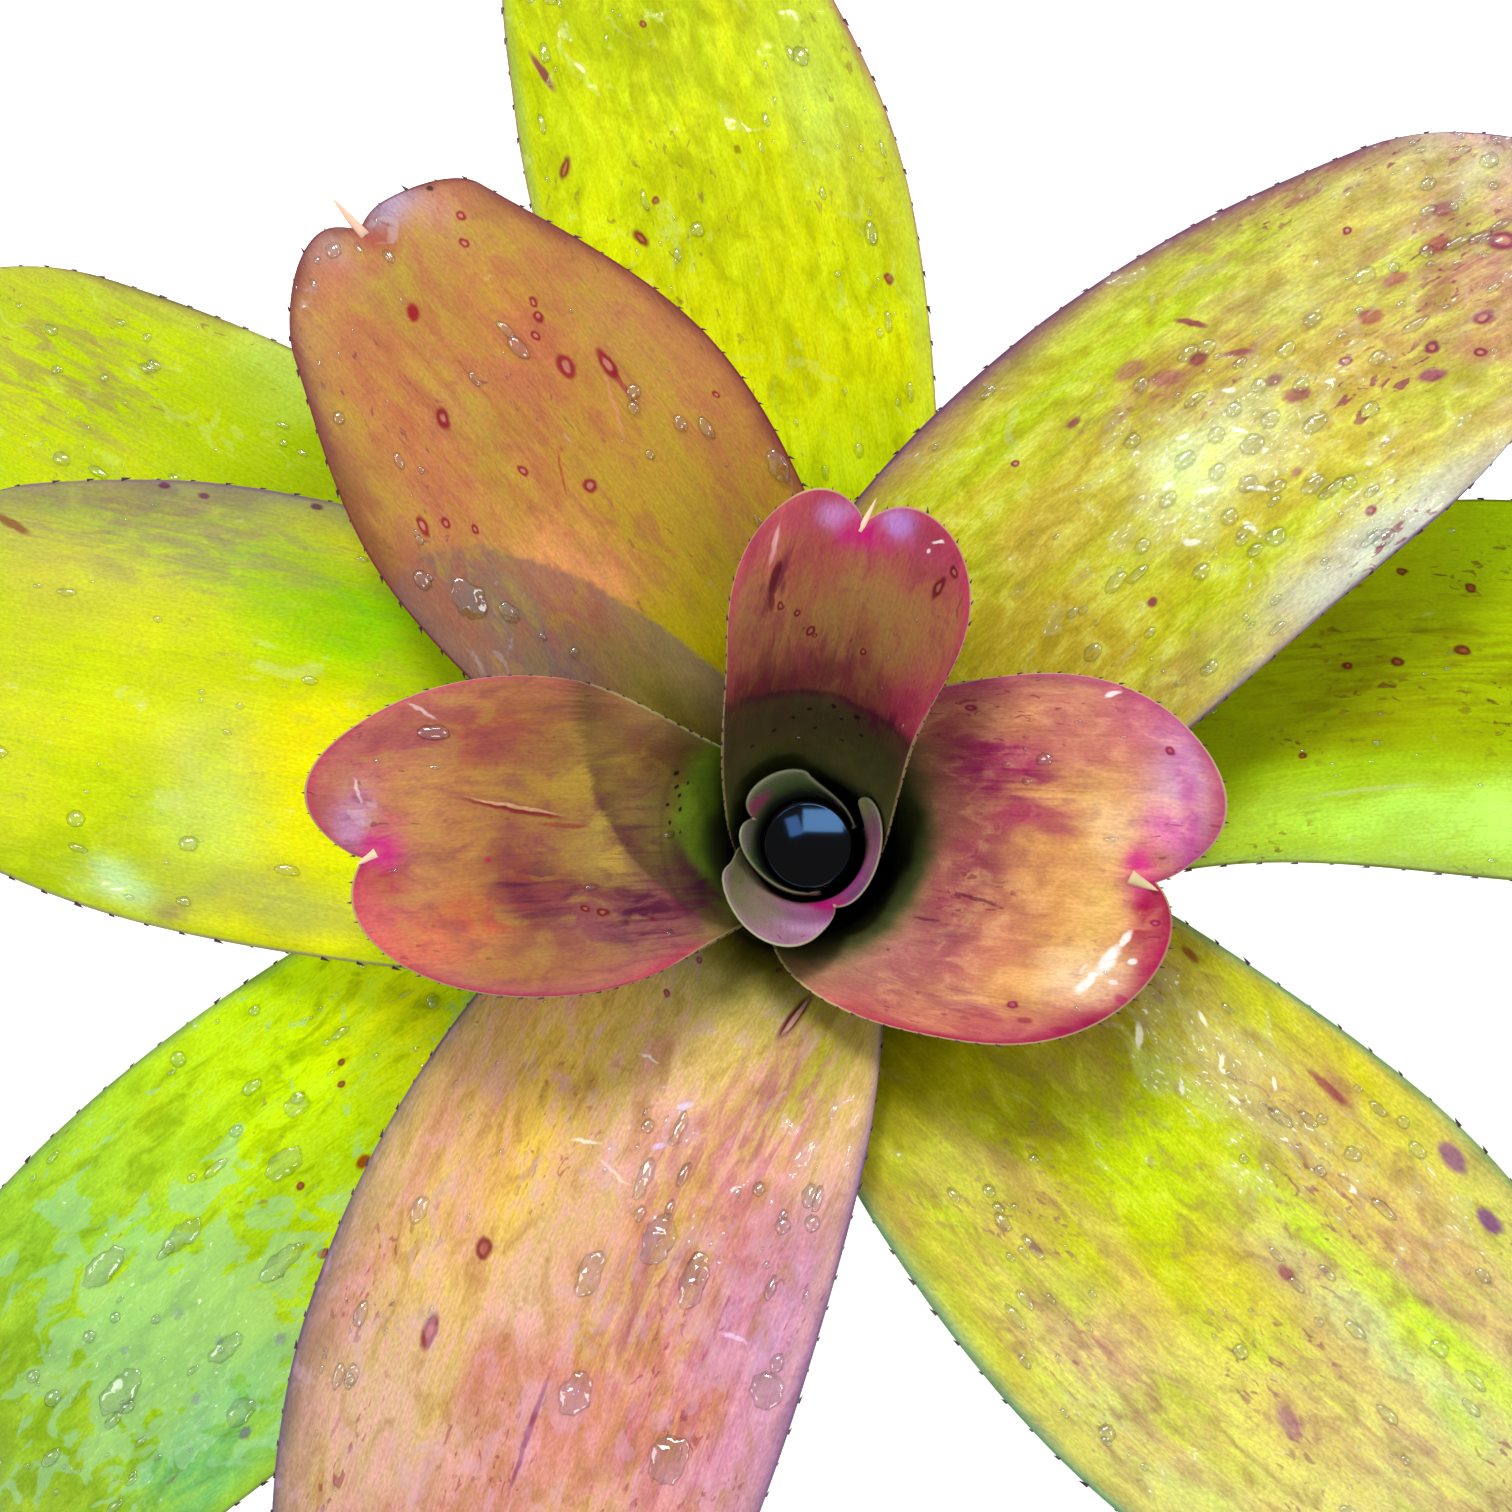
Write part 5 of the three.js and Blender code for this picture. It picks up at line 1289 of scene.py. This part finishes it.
centred = add(tree, "ShaderNodeVectorMath", {0: noise.outputs["Color"], 1: (0.5, 0.5, 0.5)},
              operation="SUBTRACT")
reach = add(tree, "ShaderNodeVectorMath", {0: spread}, operation="LENGTH").outputs["Value"]
reach = add(tree, "ShaderNodeMath", {0: reach, 1: start.outputs["Wobble"]}, operation="MULTIPLY")
offset = add(tree, "ShaderNodeVectorMath", {0: centred, "Scale": reach}, operation="SCALE")
flat_offset = add(tree, "ShaderNodeVectorMath", {0: offset, 1: (1, 1, 0.12)}, operation="MULTIPLY")
shaped = add(tree, "GeometryNodeSetPosition", {"Geometry": real, "Offset": flat_offset})
rounded = add(tree, "GeometryNodeSetShadeSmooth", {0: shaped})
dressed = add(tree, "GeometryNodeSetMaterial", {"Geometry": rounded, "Material": start.outputs["Material"]})
add(tree, "NodeGroupOutput", {0: dressed})

# in mm: the skin's height over the leaf's middle, a puddle's height, and the half widths of beads,
# from the smallest up through their range
SKIN, PUDDLE_HEIGHT = 0.5, 1.1
SMALLEST_BEAD, BEAD_RANGE = 0.35, 1.5
BEAD_SEED = 500
inner = leaves[2:len(heart) + len(blushed)]
outer = leaves[len(heart) + len(blushed):]
# each piece: its leaves, which kind, grain per metre, subdivisions of a drop, and its slot
for name, bearers, what, grain, fineness, slot in (
    ("rain_beads_on_pink_leaves", inner, "beads", 700.0, 2, "blushed_leaf"),
    ("rain_beads_on_green_leaves", outer, "beads", 700.0, 2, "green_leaf"),
    ("rain_puddles_on_pink_leaves", inner, "puddles", 420.0, 4, "blushed_leaf"),
    ("rain_puddles_on_green_leaves", outer, "puddles", 420.0, 4, "green_leaf"),
):
    places, stance = [], {"up": [], "way": [], "spread": []}
    for leaf, order, rib in bearers:
        if what == "beads":
            draw = np.random.RandomState(BEAD_SEED + order)
            tries = draw.uniform(size=(5 * leaf["drops"] + 1, 5))
            share, v = 0.3 + 0.69 * tries[:, 0], 1.84 * tries[:, 1] - 0.92
            s = rib["neck"] + share * (end_line(leaf, rib, v) - rib["neck"])
            # beads gather in swarms, so more are drawn than are kept
            swarm = uneven(s, v * through(leaf["half_widths"], share), "swarm", order)
            kept = np.flatnonzero(swarm > 0.9 * tries[:, 2] - 0.35)[:leaf["drops"]]
            s, v, tries = s[kept], v[kept], tries[kept]
            size = SMALLEST_BEAD + BEAD_RANGE * tries[:, 3] ** 3
            long, wide = size * (1 + 1.1 * tries[:, 4]), size * (1 - 0.35 * tries[:, 4])
            tall = 0.5 * size
        else:
            from_tip, across, long, wide = np.array(leaf["puddles"], dtype=float).reshape(-1, 4).T
            s = rib["tip"] - from_tip
            v = across / through(leaf["half_widths"], (s - rib["neck"]) / leaf["blade"])
            tall = np.full(len(s), PUDDLE_HEIGHT)
        at = lay(leaf, order, rib, s, v)[0]
        way = lay(leaf, order, rib, s + 1, v)[0] - at
        up = np.cross(way, lay(leaf, order, rib, s, v + 0.03)[0] - at)
        up /= np.maximum(np.linalg.norm(up, axis=-1, keepdims=True), 1e-9)
        places.append(at + SKIN * up)
        stance["up"].append(up)
        stance["way"].append(way)
        stance["spread"].append(np.stack([long, wide, tall], -1) / 1000)
    drops = grown(name, places, [], stance, tree, sockets, {
        "Wobble": 0.40, "Grain": grain, "Fineness": fineness, "Material": drop_look})
    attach(drops, "root")
